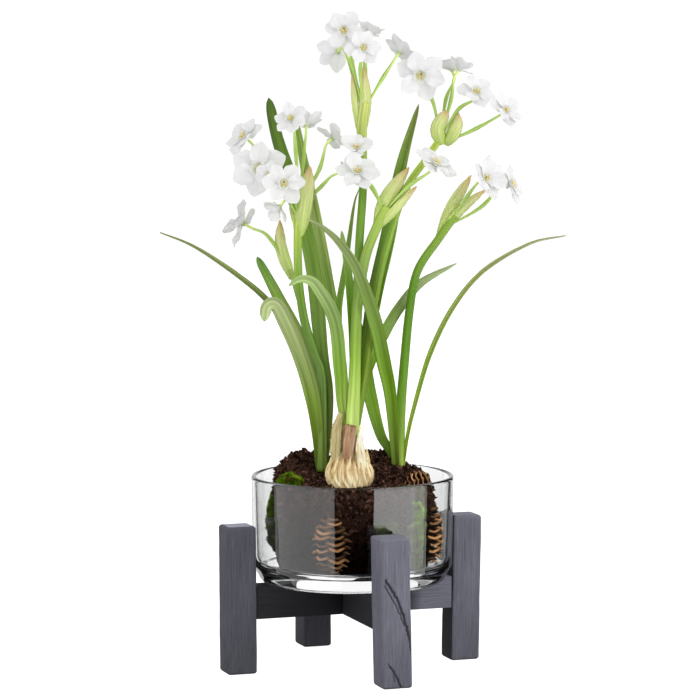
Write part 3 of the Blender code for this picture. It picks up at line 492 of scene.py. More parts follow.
class Finish:
    """A material with a few shorthands for its nodes."""

    def __init__(self, name):
        self.material = bpy.data.materials.new(name)
        self.material.use_nodes = True
        self.tree = self.material.node_tree
        self.shader = self.tree.nodes["Principled BSDF"]
        self.output = self.tree.nodes["Material Output"]

    def node(self, kind, **settings):
        made = self.tree.nodes.new(kind)
        for key, value in settings.items():
            setattr(made, key, value)
        return made

    def put(self, socket, value):
        if isinstance(value, bpy.types.NodeSocket):
            self.tree.links.new(value, socket)
        else:
            socket.default_value = value

    def fill(self, made, **values):
        for key, value in values.items():
            self.put(made.inputs[key.replace("_", " ")], value)
        return made

    def set(self, **values):
        self.fill(self.shader, **values)

    def value(self, name):
        made = self.node("ShaderNodeAttribute", attribute_name=name)
        return made.outputs["Color" if name == "tint" else "Fac"]

    def math(self, operation, *values):
        made = self.node("ShaderNodeMath", operation=operation)
        for socket, value in zip(made.inputs, values):
            self.put(socket, value)
        return made.outputs[0]

    def blend(self, a, b, share):
        """Some of one value and a share of another."""
        return self.math("ADD", self.math("MULTIPLY", a, 1 - share), self.math("MULTIPLY", b, share))

    def place(self, scale=(1, 1, 1), turn=0.0):
        """The point in the piece's own frame turned about Z, in millimetres times the scale."""
        coords = self.node("ShaderNodeTexCoord")
        mapping = self.node("ShaderNodeMapping", vector_type="TEXTURE")
        self.fill(mapping, Scale=[MM / s for s in scale], Rotation=(0, 0, turn),
                  Vector=coords.outputs["Object"])
        return mapping.outputs[0]

    def strands(self, stretch):
        """A place on a blade or petal whose noise is drawn out along it."""
        along = self.math("MULTIPLY", self.value("along"), stretch)
        return self.fill(self.node("ShaderNodeCombineXYZ"), X=self.value("across"), Y=along).outputs[0]

    def noise(self, vector, scale, detail, rough, distortion=0.0):
        made = self.fill(self.node("ShaderNodeTexNoise"), Vector=vector, Scale=scale, Detail=detail,
                         Roughness=rough, Distortion=distortion)
        return made.outputs["Fac"]

    def ramp(self, factor, *stops):
        made = self.fill(self.node("ShaderNodeValToRGB"), Fac=factor)
        elements = made.color_ramp.elements
        while len(elements) < len(stops):
            elements.new(0.5)
        for element, (position, colour) in zip(elements, stops):
            element.position = position
            if isinstance(colour, str):
                colour = rgb(colour)
            elif not isinstance(colour, tuple):
                colour = (colour, colour, colour)
            element.color = (*colour, 1.0)
        return made.outputs["Color"]

    def mix(self, factor, a, b, kind="MIX"):
        made = self.node("ShaderNodeMix", data_type="RGBA", blend_type=kind)
        for socket, value in zip((made.inputs[0], made.inputs[6], made.inputs[7]), (factor, a, b)):
            self.put(socket, value)
        return made.outputs[2]

    def times(self, a, b):
        return self.mix(1.0, a, b, "MULTIPLY")

    def bump(self, height, distance, strength):
        made = self.fill(self.node("ShaderNodeBump"), Height=height, Distance=distance * MM,
                         Strength=strength)
        self.set(Normal=made.outputs["Normal"])

    def part(self, share, other):
        """Mix another shader into the surface."""
        mixed = self.node("ShaderNodeMixShader")
        for socket, value in zip(mixed.inputs, (share, self.shader.outputs[0], other.outputs[0])):
            self.put(socket, value)
        self.put(self.output.inputs["Surface"], mixed.outputs[0])

    def shine_through(self, colour, share):
        self.part(share, self.fill(self.node("ShaderNodeBsdfTranslucent"), Color=colour))


def wood_finish(name, turn=None, shades=()):
    """Charcoal stained timber with fine grain: along Z, or along a level line turned by an angle. It carries
    painted shade: a leg's from its tint, a crossbar's from tones along it.
    """
    f = Finish(name)

    def grained(across, along):
        if turn is None:
            return f.place((across, across, along))
        return f.place((along, across, across), turn)

    grain = f.noise(grained(0.9, 0.035), 1.0, 6.0, 0.65, 0.3)
    fine = f.noise(grained(3.2, 0.10), 1.0, 4.0, 0.7)
    broad = f.noise(grained(0.05, 0.02), 1.0, 2.0, 0.5)
    tone = f.blend(grain, fine, 0.45)
    colour = f.ramp(tone, (0.30, "#51505b"), (0.5, "#6a6a76"), (0.72, "#7f7f8c"))
    colour = f.times(colour, f.ramp(broad, (0.3, 0.88), (0.7, 1.1)))
    # painted shade: a leg's comes from its tint, a crossbar's from tones along it
    if turn is None:
        shade = f.value("tint")
    else:
        split = f.fill(f.node("ShaderNodeSeparateXYZ"), Vector=f.place(turn=turn))
        shade = f.ramp(f.math("MULTIPLY_ADD", split.outputs[0], 1 / BAR_REACH, 0.5), *shades)
    f.set(Base_Color=f.times(colour, shade), Roughness=0.75, Specular_IOR_Level=0.1)
    f.bump(tone, 0.3, 0.5)
    return f.material


def glass_finish():
    """Clear glass that bends what is behind it and lets lamps light what is in it."""
    f = Finish("clear_glass")
    swirl = f.noise(f.place(), 0.05, 2.0, 0.5)
    f.set(Base_Color=f.ramp(swirl, (0.3, (0.975, 0.99, 0.98)), (0.7, 1.0)), Roughness=0.0, IOR=1.5,
          Transmission_Weight=1.0)
    f.bump(swirl, 0.05, 0.05)
    path = f.node("ShaderNodeLightPath")
    lamps = f.math("MAXIMUM", path.outputs["Is Shadow Ray"], path.outputs["Is Diffuse Ray"])
    f.part(lamps, f.fill(f.node("ShaderNodeBsdfTransparent"), Color=(0.97, 0.98, 0.97, 1.0)))
    return f.material


def soil_finish():
    f = Finish("potting_soil")
    spots = f.noise(f.place(), 1.3, 5.0, 0.7)
    fleck = f.noise(f.place(), 0.45, 3.0, 0.6)
    colour = f.ramp(spots, (0.30, "#120b0a"), (0.5, "#2c1d18"), (0.62, "#523c31"), (0.8, "#8f7b6b"))
    colour = f.mix(f.ramp(fleck, (0.55, 0.0), (0.72, 0.55)), colour, (*rgb("#44261a"), 1.0))
    f.set(Base_Color=f.times(colour, f.value("tint")), Roughness=0.9, Specular_IOR_Level=0.0)
    f.bump(spots, 0.8, 0.8)
    return f.material


def moss_finish():
    f = Finish("moss")
    patch = f.noise(f.place(), 0.12, 3.0, 0.6)
    colour = f.ramp(patch, (0.3, "#3d5a0c"), (0.5, "#64841a"), (0.7, "#93a93a"))
    f.set(Base_Color=f.times(colour, f.value("tint")), Roughness=0.8, Specular_IOR_Level=0.0)
    return f.material


def cone_finish():
    f = Finish("pine_cone")
    streak = f.noise(f.place(), 0.9, 4.0, 0.6)
    colour = f.times(f.value("tint"), f.ramp(streak, (0.3, 0.65), (0.7, 1.25)))
    f.set(Base_Color=colour, Roughness=0.65, Specular_IOR_Level=0.08)
    f.bump(streak, 0.3, 0.6)
    return f.material


def bulb_finish():
    """Dry papery skin: streaks run up the bulb, with cream, tan and brown in them."""
    f = Finish("bulb_skin")
    streak = f.noise(f.strands(0.10), 0.5, 5.0, 0.6, 0.8)
    blotch = f.noise(f.place(), 0.16, 3.0, 0.6)
    colour = f.ramp(streak, (0.30, "#6f4c2a"), (0.38, "#b8965f"), (0.50, "#dac896"), (0.70, "#ece4c6"))
    colour = f.mix(f.ramp(blotch, (0.56, 0.0), (0.74, 0.55)), colour, (*rgb("#b98a5c"), 1.0))
    f.set(Base_Color=f.times(colour, f.value("tint")), Roughness=0.6, Specular_IOR_Level=0.4)
    f.bump(streak, 0.5, 0.7)
    return f.material


def buried_bulb_finish():
    f = Finish("bulb_skin_plain")
    streak = f.noise(f.place((1, 1, 0.2)), 0.6, 4.0, 0.6)
    f.set(Base_Color=f.ramp(streak, (0.3, "#9a7548"), (0.6, "#dcc38d")), Roughness=0.65)
    f.bump(streak, 0.4, 0.5)
    return f.material


def leaf_finish():
    """Strap leaves: veins run along the blade, and each leaf has its own colours from foot to tip."""
    f = Finish("leaf")
    line = f.strands(0.012)
    tone = f.blend(f.noise(line, 0.42, 3.0, 0.55), f.noise(line, 1.9, 2.0, 0.5), 0.3)
    shade = f.ramp(tone, (0.32, (0.64, 0.64, 0.40)), (0.5, (1.13, 1.15, 0.76)), (0.68, (1.7, 1.7, 1.24)))
    colour = f.times(f.value("tint"), shade)
    f.set(Base_Color=colour, Roughness=0.45, Specular_IOR_Level=0.25)
    f.bump(tone, 0.35, 0.5)
    f.shine_through(f.times(colour, (1.25, 1.35, 0.6, 1.0)), 0.22)
    return f.material


def thin_finish(name, stretch, grain, shades, rough, gloss, relief, through):
    """Thin tissue with faint veins that lets light through: petals and the sheaths under the heads."""
    f = Finish(name)
    vein = f.noise(f.strands(stretch), *grain)
    colour = f.times(f.value("tint"), f.ramp(vein, *shades))
    f.set(Base_Color=colour, Roughness=rough, Specular_IOR_Level=gloss)
    f.bump(vein, *relief)
    f.shine_through(colour, through)
    return f.material


def stamen_finish():
    f = Finish("stamens")
    grain = f.noise(f.place(), 2.5, 2.0, 0.5)
    f.set(Base_Color=f.times(f.value("tint"), f.ramp(grain, (0.35, 0.7), (0.6, 1.1))), Roughness=0.8)
    return f.material


def leg_ring(half, points):
    """Points round a square with softened corners, and the direction that faces out at each."""
    flat = np.linspace(-1, 1, points) * (half - LEG_EDGE)
    bend = np.radians(np.linspace(0, 90, 5)[1:-1])
    corner = half - LEG_EDGE
    ring = []
    out = []
    for quarter in range(4):
        cos, sin = round(math.cos(quarter * math.pi / 2)), round(math.sin(quarter * math.pi / 2))
        side = [(x, -half) for x in flat]
        side += [(corner + LEG_EDGE * math.sin(a), -corner - LEG_EDGE * math.cos(a)) for a in bend]
        ways = [(0, -1)] * points + [(math.sin(a), -math.cos(a)) for a in bend]
        ring += [(x * cos - y * sin, x * sin + y * cos) for x, y in side]
        out += [(x * cos - y * sin, x * sin + y * cos) for x, y in ways]
    return np.array(ring), np.array(out)


def crack_depth(across, height):
    """How deep the cracks are at places on the face, and 0 away from them."""
    depth = np.zeros_like(across)
    for points, size in CRACKS:
        line = np.array(points, float)
        way = smooth_route(np.c_[line, np.zeros(len(line))], 120)[:, :2]
        way[:, 0] += [0.9 * noise.noise(Vector((x * 0.5, z * 0.5, size * 9))) for x, z in way]
        gap = np.full(across.shape, 1e9)
        for x, z in way:
            gap = np.minimum(gap, (across - x) ** 2 + (0.8 * (height - z)) ** 2)
        depth = np.maximum(depth, 2.2 * size * np.exp(-gap / (2 * size ** 2)))
    return depth


def seed_of(name):
    return sum(ord(letter) * (index + 1) for index, letter in enumerate(name)) % 97


def timber(name, centre, lean, tone, lid_painted_light, finish):
    """A square timber leg with softened edges and an uneven, grained surface."""
    half = LEG_SIDE / 2
    top = LEG_HEIGHT / 2
    cracked = name == "leg_front"
    across, rows = (54, 230) if cracked else (22, 110)
    ring, out = leg_ring(half, across)
    bend = np.radians(np.linspace(0, 90, 5)[:-1])
    low = [(LEG_EDGE * (1 - math.cos(a)) - top, LEG_EDGE * (1 - math.sin(a))) for a in bend]
    levels = low + [(z, 0.0) for z in np.linspace(LEG_EDGE - top, top - LEG_EDGE, rows)]
    levels += [(-z, inset) for z, inset in reversed(low)]
    points = np.array([np.c_[ring * (1 - inset / half), np.full(len(ring), z)] for z, inset in levels])
    seed = seed_of(name)
    relief = 0.14 * wobble(points * (1, 1, 0.08), 0.8, seed)
    relief = relief + 0.12 * wobble(points * (1, 1, 0.12), 2.4, seed + 1)
    relief = relief + 0.25 * wobble(points * (1, 1, 0.5), 16.0, seed + 2) - 0.2
    dark = np.ones(points.shape[:2])
    # painted shade on the right leg's face towards the bowl
    if name == "leg_right":
        dark = dark * np.where(out[:, 0] < -0.9, INNER_FACE_SHADE, 1)
    if cracked:
        depth = crack_depth(points[..., 0], points[..., 2] + top) * (out[:, 1] < -0.9)
        relief = relief - depth
        # painted shade inside the cracks
        dark = 1 - 0.75 * np.clip(depth / 0.8, 0, 1)
    points[..., :2] += out[None] * relief[..., None]
    points[..., 0] += points[..., 2] * math.tan(math.radians(lean))
    # the end grain above and below
    lid = np.array([points[-1] * (k, k, 1) + (0, 0, 0.1) for k in (0.93, 0.6, 0.25)])
    base = np.array([points[0] * (k, k, 1) for k in (0.25, 0.6, 0.93)])
    ends = np.ones((3, len(ring)))
    # painted light on the top end grain; each leg's tone is mostly painted shade for how much light reaches
    # it
    dark = np.concatenate([ends, dark, lid_painted_light * ends])
    shape = Shape()
    shape.skin(np.concatenate([base, points, lid]) - (AXIS_X, 0, 0), tint=(tone * dark)[..., None])
    item = piece("timber_" + name, shape, finish, name, angle=60)
    item.location = (Vector(centre) + Vector((AXIS_X, 0, 0))) * MM
    item.rotation_euler = (0, 0, STAND_TURN)


def build_stand():
    finish = wood_finish("stained_and_shaded_timber")
    along = Vector((math.cos(STAND_TURN), math.sin(STAND_TURN), 0))
    towards = Vector((math.sin(STAND_TURN), -math.cos(STAND_TURN), 0))
    for name, a, b, lean, tone, lid_painted_light in LEGS:
        centre = (a * along + b * towards) * LEG_RADIUS + Vector((0, 0, LEG_HEIGHT / 2))
        timber(name, centre, lean, tone, lid_painted_light, finish)
    for name, turn, shades in BARS:
        refinish(name, wood_finish("stained_and_shaded_" + name, STAND_TURN + turn, shades))


def build_bowl():
    inner = RIM_RADIUS - WALL
    profile = [(0.01, BOWL_FLOOR)]
    profile += [(r, BOWL_FLOOR) for r in np.linspace(8, inner - 9.5, 8)]
    profile += arc((inner - 9, BOWL_FLOOR + 7), 7.0, -86, -6, 9)
    profile += [(inner - 2 + 2 * t, BOWL_FLOOR + 7 + (BOWL_TOP - BOWL_FLOOR - 9) * t)
                for t in np.linspace(0.05, 1, 14)]
    profile += arc((RIM_RADIUS - WALL / 2, BOWL_TOP - WALL / 2), WALL / 2, 180, 0, 9)
    profile += [(RIM_RADIUS - 1.1 * t, BOWL_TOP - 2 - (BOWL_TOP - BOWL_FOOT - 15) * t)
                for t in np.linspace(0.02, 1, 14)]
    profile += [(radius, BOWL_FOOT + height) for radius, height in BOWL_BASE]
    profile += [(r, BOWL_FOOT) for r in np.linspace(60, 8, 8)]
    profile += [(0.01, BOWL_FOOT)]
    shape = Shape()
    shape.skin(turned_points(profile, 192)[::-1] + (BOWL_CENTRE_X, 0, 0))
    piece("bowl_glass", shape, glass_finish(), "glass_bowl", angle=25)


def soil_surface():
    """Rings of points over the mounds and down the side of the soil."""
    top = [(r, 1.0) for r in np.linspace(0.5, SOIL_TOP_RADIUS, 40)]
    bend = [(SOIL_TOP_RADIUS + SOIL_BEND * math.sin(a), 1 - SOIL_DROP * (1 - math.cos(a)))
            for a in np.linspace(0.1, math.pi / 2, 13)]
    side = [(SOIL_TOP_RADIUS + SOIL_BEND - SOIL_TAPER * t ** 2, (1 - SOIL_DROP) * (1 - t))
            for t in np.linspace(0.03, 1, 36)]
    outline = np.array(top + bend + side)
    angles = ring_angles(SOIL_SIDES)
    radius = outline[:, :1] * (1 + 0.02 * np.sin(5 * angles + 3) + 0.015 * np.sin(9 * angles))
    x = SOIL_CENTRE_X + radius * np.cos(angles)
    y = radius * np.sin(angles)
    height = SOIL_EDGE_HEIGHT
    for mound_x, mound_y, rise, spread in MOUNDS:
        height = height + rise * np.exp(-((x - mound_x) ** 2 + (y - mound_y) ** 2) / (2 * spread ** 2))
    return np.stack([x, y, SOIL_FLOOR + (height - SOIL_FLOOR) * outline[:, 1:]], -1)


def crumb(shape, centre, size, tone):
    """A small angular lump: eight faces with uneven corners."""
    base = np.array(((1, 0, 0), (-1, 0, 0), (0, 1, 0), (0, -1, 0), (0, 0, 1), (0, 0, -1)), float)
    base = base * jitter(0.6, 1.25, 6)
    base += jitter(-0.35, 0.35, 6)
    tris = ((4, 0, 2), (4, 2, 1), (4, 1, 3), (4, 3, 0), (5, 2, 0), (5, 1, 2), (5, 3, 1), (5, 0, 3))
    shape.add(centre + base * size * jitter(0.7, 1.5, 1), tris=tris, tint=tone)


def soil_painted_shade(height):
    """How dark the soil is painted: painted shade, darker toward the bottom of the bowl."""
    return np.clip((height - 88) / 50, 0, 1) ** 1.4 * 0.9 + 0.1


def build_soil():
    finish = soil_finish()
    points = soil_surface()
    down = np.roll(points, -1, 0) - np.roll(points, 1, 0)
    down[0] = points[1] - points[0]
    down[-1] = points[-1] - points[-2]
    normals = unit(np.cross(down, np.roll(points, -1, 1) - np.roll(points, 1, 1)))
    outward = normals * np.sign(np.sum(normals * (points - (0, 0, 105)), -1))[..., None]
    lift = 1.7 * wobble(points, 9.0, 1) + 1.1 * wobble(points, 4.0, 2) + 0.7 * wobble(points, 1.8, 3)
    lift = lift * np.clip((points[..., 2] - SOIL_FLOOR) / 4, 0, 1)
    surface = points + outward * lift[..., None]
    shape = Shape()
    # painted shade on the soil and its crumbs, darker toward the bottom of the bowl
    shape.skin(surface, tint=soil_painted_shade(points[..., 2:]))
    piece("soil_mass", shape, finish, "soil")

    crumbs = Shape()
    picks = [(RNG.randrange(len(points) - 6), RNG.randrange(SOIL_SIDES)) for _ in range(CRUMBS)]
    for row, col in picks:
        if RNG.random() > math.hypot(*points[row, col, :2]) / 55 + 0.08:
            continue
        where = surface[row, col] + jitter(-0.6, 0.6, 1)[0]
        size = RNG.choice(CRUMB_SIZES) * RNG.uniform(0.7, 1.2)
        tone = soil_painted_shade(where[2]) * RNG.choice(CRUMB_TONES) * RNG.uniform(0.8, 1.2)
        crumb(crumbs, where, size, tone)
    piece("soil_crumbs", crumbs, finish, "soil", smooth=False)


def egg_points(centre, radii, count, outward):
    """Random points on the side of an egg-shaped lump that faces outward, with their normals."""
    found = []
    while len(found) < count:
        way = np.array([RNG.gauss(0, 1) for _ in range(3)])
        way /= np.linalg.norm(way)
        normal = unit(way / radii)
        if np.dot(normal, outward) >= -0.1:
            found.append((np.array(centre) + way * radii, normal))
    return found


def build_moss():
    finish = moss_finish()
    profile = [(math.sin(a) + 1e-3, math.cos(a)) for a in np.linspace(0, math.pi, 22)]
    for name, centre, radii, outward, count, light in MOSS_PADS:
        shape = Shape()
        radii = np.array(radii)
        lump = turned_points(profile, 36) * radii * 0.86 + centre
        swell = 1.6 * wobble(lump, 5.0, 4) + 0.8 * wobble(lump, 2.0, 5)
        lump = lump + unit(lump - centre) * swell[..., None]
        shape.skin(lump, tint=(0.18, 0.09, 0.3))
        for where, normal in egg_points(centre, radii * 0.88, count, unit(outward)):
            swell = 1.6 * noise.noise(Vector(where) / 5.0 + Vector((68, 20.4, 38.8)))
            patch = noise.noise(Vector(where) / 5.0 + Vector((3, 7, 1)))
            if patch < RNG.uniform(-0.35, -0.05):
                continue
            lean = unit(normal + jitter(-0.8, 0.8, 1)[0])
            side = unit(np.cross(lean, jitter(-1, 1, 1)[0]))
            length = RNG.uniform(1.0, 2.2) * (1 + 1.1 * patch)
            width = RNG.uniform(0.22, 0.45)
            foot = where + normal * (swell - 0.5)
            other = np.cross(lean, side) * width
            back = foot - side * width * 0.5
            # painted light: brighter on the right-hand pads, with random variation, and painted shade lower
            # down in the bowl
            glow = RNG.uniform(0.5, 1.2) * (1 + 1.1 * patch) * light
            glow *= min(1.15, max(0.2, (where[2] - 84) / 42))
            shape.add((foot + side * width, back + other, back - other, foot + lean * length),
                      tris=((0, 1, 3), (1, 2, 3), (2, 0, 3), (0, 2, 1)),
                      tint=np.array([(0.30, 0.33, 0.25)] * 3 + [(0.85, 0.85, 0.62)]) * glow)
        piece(name + "_tufts", shape, finish, name)


def cone_scale(shape, root, out, up, width, length, thick, glow):
    """One woody scale: a curved plate, thicker and paler at its lip."""
    side = np.cross(up, out)
    v = np.array((0.0, 0.4, 0.75, 0.93, 1.0))[:, None, None]
    u = np.linspace(-1, 1, 7)[None, :, None]
    half = width / 2 * (0.35 + 0.65 * np.sin(np.minimum(v * 1.25, 1) * math.pi / 2))
    half = half * (1 - 1.25 * np.maximum(v - 0.8, 0))
    reach = length * v * (1 - 0.16 * u * u)
    curl = 0.20 * width * u * u * v - 0.12 * length * v * v
    middle = root + out * reach + side * half * u + up * curl
    top = middle + up * thick * (0.25 + 0.75 * v)
    under = middle - up * thick * 0.2
    dark = np.array(rgb("#170b06"))
    lip = np.array(rgb("#86603e")) * glow
    shape.skin(np.concatenate([top, under[:, ::-1]], 1), tint=dark + (lip - dark) * v ** 14)


def build_cones():
    finish = cone_finish()
    core = [(0.5 * math.sin(a) + 1e-3, 0.9 * math.cos(a)) for a in np.linspace(0, math.pi, 12)]
    for name, centre, radii, lean, lines, pale in CONES:
        shape = Shape()
        shape.skin(turned_points(core, 14) * np.array(radii), tint=rgb("#2a150a"))
        for index in range((lines + DROP) * ROUND):
            slot = index % ROUND
            share = (index // ROUND - DROP * slot / ROUND + 0.5 + RNG.uniform(-0.12, 0.12)) / lines
            if not 0 < share < 1:
                continue
            height = -0.92 + 1.84 * share
            angle = (slot + RNG.uniform(-0.1, 0.1)) / ROUND * math.tau + math.pi
            out = np.array((math.cos(angle), math.sin(angle), 0))
            level = math.sqrt(max(0.02, 1 - height ** 2))
            way = unit(out + (0, 0, 0.15 + 0.75 * share ** 2))
            up = unit(np.cross(way, np.cross((0, 0, 1), way)))
            spoke = out * (radii[0] * level, radii[1] * level, 0)
            reach = np.linalg.norm(spoke)
            root = spoke * 0.30 + (0, 0, height * radii[2] - 0.112 * reach)
            width = (2.5 * reach * math.sin(math.pi / ROUND) + 1.5) * RNG.uniform(0.8, 1.15)
            cone_scale(shape, root, way, up, width, reach * 0.78 + 0.5, 0.75 * (radii[0] / 14) ** 0.5,
                       pale * RNG.uniform(0.2, 1.5))
        cos, sin = math.cos(lean), math.sin(lean)
        turn = np.array(((cos, 0, -sin), (0, 1, 0), (sin, 0, cos)))
        shape.verts = [points @ turn + centre for points in shape.verts]
        piece(name + "_scales", shape, finish, name, angle=50)


def build_bulbs():
    finish = bulb_finish()
    plain = buried_bulb_finish()
    for name in ("bulb_left", "bulb_right"):
        refinish(name, plain)
    rows, sides = 90, 160
    share = np.linspace(0, 1, rows)
    heights = share * BULB_HEIGHT
    radii = np.interp(heights, *np.array(BULB_OUTLINE).T[::-1])
    radii = np.convolve(np.pad(radii, 2, "edge"), np.ones(5) / 5, "valid")
    angles = ring_angles(sides)
    points = turned_points(np.c_[radii, heights], sides)
    # wrinkles run up the bulb and gather at its neck
    turn = angles[None] + 0.5 * np.sin(heights / 14)[:, None]
    ridge = np.zeros((rows, sides))
    for count, size, phase in WRINKLES:
        wave = np.sin(count * turn + phase + 1.2 * np.sin(heights / 8 + phase)[:, None])
        ridge += size * (1 - 2 * np.abs(wave) ** 0.7)
    middle = np.clip(1 - np.abs(heights - 20) / 26, 0, 1)
    ridge = ridge * (0.45 + 0.9 * middle)[:, None] + 0.8 * wobble(points, 7.0, 6)
    points[..., :2] *= (1 + ridge / np.maximum(radii, 6)[:, None])[..., None]
    points[..., 2] += 1.2 * np.sin(3 * angles + 1)[None] * (share ** 8)[:, None]
    inside = points[-1:] * (0.8, 0.8, 1)
    points = np.concatenate([points, inside, inside + (0, 0, -8)])
    heights = np.r_[heights, BULB_HEIGHT, BULB_HEIGHT - 8][:, None]
    # a brown streak in front, from the middle of the bulb to its neck
    facing = np.clip(np.cos(angles + math.pi / 2 + 0.15) * 1.6 - 0.6, 0, 1)
    brown = np.clip((heights - 22) / 22, 0, 1) * facing
    low = np.clip(1 - heights / 5, 0, 1)
    # darker and browner down in the wrinkles: partly the skin's own brown lines, partly painted shade
    wrinkle_lines_and_shade = np.pad(np.clip(-ridge / 1.3, 0, 1) ** 1.3, ((0, 2), (0, 0)), "edge")
    # painted shade on the bulb's left side, away from the light
    left_side_shade = np.clip(-np.cos(angles), 0, 1) * np.clip((heights - 4) / 10, 0, 1)
    tone = 1
    for amount, loss in ((brown, (0.294, 0.385, 0.385)), (low, (0.1, 0.22, 0.35)),
                         (wrinkle_lines_and_shade, (0.40, 0.50, 0.60)), (left_side_shade, (0.15, 0.2, 0.35))):
        tone = tone * (1 - amount[..., None] * np.array(loss))
    shape = Shape()
    shape.skin(points + FRONT_BULB, tint=tone, across=angles * 15, along=heights)
    piece("bulb_front_skin", shape, finish, "bulb_front")
    flaps = Shape()
    for index, (route, widths, turn, tint) in enumerate(FLAPS):
        blade(flaps, smooth_route(route, 26), lambda v, w=widths: between(w, v) / 2, (turn, turn),
              channel=0.35, cols=14, thick=0.5, colours=[tint] * 2, crumple=0.55, seed=index + 20, ragged=0.5)
    piece("bulb_front_flaps", flaps, finish, "bulb_front")


def two_sided(middle, normal, body):
    """Rings round a thin sheet: over its top and back along its underside."""
    top = middle + normal * body
    under = middle - normal * body
    return np.concatenate([top, under[:, -2:0:-1]], 1)


def there_and_back(u):
    return np.concatenate([u, u[-2:0:-1]])


def blade(shape, route, half_width, turn, channel, cols, thick, colours, crumple, seed, ragged=0.0):
    """A thin blade along a route: half_width(v) gives its half width at a share of its length."""
    v = np.linspace(0, 1, len(route))
    u = np.linspace(-1, 1, cols)
    forward = tangents(route)
    face = np.broadcast_to(np.array((0, -1, 0), float), forward.shape)
    face = unit(face - forward * np.sum(face * forward, -1, keepdims=True))
    face = spin(face, forward, np.radians(between(turn, v)))
    side = np.cross(forward, face)[:, None]
    forward, face = forward[:, None], face[:, None]
    half = np.array([half_width(share) for share in v])[:, None]
    hollow = 2 * half * channel * np.abs(u) ** 2
    middle = route[:, None] + side * (half * u)[..., None] + face * hollow[..., None]
    middle = middle + face * (wobble(middle, 2.6, seed) * crumple)[..., None]
    if ragged:
        edge = wobble(middle, 1.6, seed + 3) * ragged * np.abs(u) ** 3 * np.sign(u)
        middle = middle + side * edge[..., None]
        tip = wobble(middle, 1.3, seed + 5) * ragged * 3 * (v ** 6)[:, None]
        middle = middle + forward * tip[..., None]
    body = thick / 2 * np.sqrt(np.clip(1 - 0.92 * u ** 4, 0, 1))
    shape.skin(two_sided(middle, face, body[None, :, None]), tint=between(colours, v)[:, None],
               across=half * there_and_back(u) + seed * 31.7,
               along=(run_lengths(route) + seed * 13.1)[:, None])


def leaf_half(width, taper, tip):
    def half(v):
        past = max(0.0, (v - taper) / (1 - taper))
        value = width / 2 * (1 - (1 - tip) * past ** 2.2) * (0.5 + 0.5 * min(1.0, 2.5 * v))
        end = max(0.0, (v - 0.955) / 0.045)
        return value * max(0.06, math.sqrt(max(0.0, 1 - end ** 2)))
    return half


def tube(shape, route, radii, sides, colours, ridges=0, seed=0):
    """A round stem along a route; radii are stops along its length."""
    v = np.linspace(0, 1, len(route))
    forward = tangents(route)
    normals = [unit(np.cross(forward[0], (0.3, 1, 0.1)))]
    for way in forward[1:]:
        normals.append(unit(normals[-1] - way * np.dot(normals[-1], way)))
    normals = np.array(normals)
    others = np.cross(forward, normals)
    angles = ring_angles(sides)
    radius = between(radii, v)[:, None]
    if ridges:
        radius = radius * (1 + 0.03 * np.cos(ridges * angles))
    points = (route[:, None] + normals[:, None] * (radius * np.cos(angles))[..., None]
              + others[:, None] * (radius * np.sin(angles))[..., None])
    shape.skin(points, tint=between(colours, v)[:, None], across=angles * 3 + seed * 31.7,
               along=(run_lengths(route) + seed * 13.1)[:, None])


def build_leaves_and_stems():
    finish = leaf_finish()
    for clump, leaves in LEAVES.items():
        for index, (name, points, width, turn, taper, tip, colours) in enumerate(leaves):
            shape = Shape()
            blade(shape, smooth_route(points, 90), leaf_half(width, taper, tip), turn, channel=0.16,
                  cols=15, thick=1.0, colours=rgbs(colours), crumple=0.12, seed=index + 7 * len(clump))
            piece("leaf_" + name, shape, finish, "shoot_" + clump)
    for number, (head, (clump, points, radius, colours)) in enumerate(STEMS.items()):
        shape = Shape()
        tube(shape, smooth_route(points, 80), (radius * 1.25, radius, radius * 0.9, radius * 0.85), 22,
             rgbs(colours), ridges=7, seed=number)
        piece("stem_" + head, shape, finish, "shoot_" + clump)
        route = smooth_route(points, 200)
        stalks = Shape()
        for index, (form, roll, centre, direction, size, share, via) in enumerate(HEADS[head]):
            facing = unit(direction)
            end = centre - facing * 1.6 * size / PATTERN_RADIUS
            way = smooth_route([route[int(share * 199)], via, centre - facing * 9, end], 44)
            tube(stalks, way, STALK_RADII, 12, rgbs(STALK_COLOURS), seed=index)
        piece("stalks_" + head, stalks, finish, "shoot_" + clump)


def build_sheaths():
    finish = thin_finish("flower_sheath", stretch=0.03, grain=(1.1, 4.0, 0.6),
                         shades=((0.32, 0.78), (0.68, 1.15)), rough=0.5, gloss=0.5, relief=(0.4, 0.6),
                         through=0.35)
    for head, lobes in SPATHES.items():
        shape = Shape()
        for index, (points, width, turn) in enumerate(lobes):
            blade(shape, smooth_route(points, 40), lambda v, w=width: w / 2 * between(SHEATH_OUTLINE, v),
                  (turn, turn), channel=-0.30, cols=17, thick=0.5, colours=rgbs(SHEATH_COLOURS),
                  crumple=0.45, seed=index + 40 + len(head), ragged=0.25)
        piece("sheath_" + head, shape, finish, "shoot_" + STEMS[head][0])


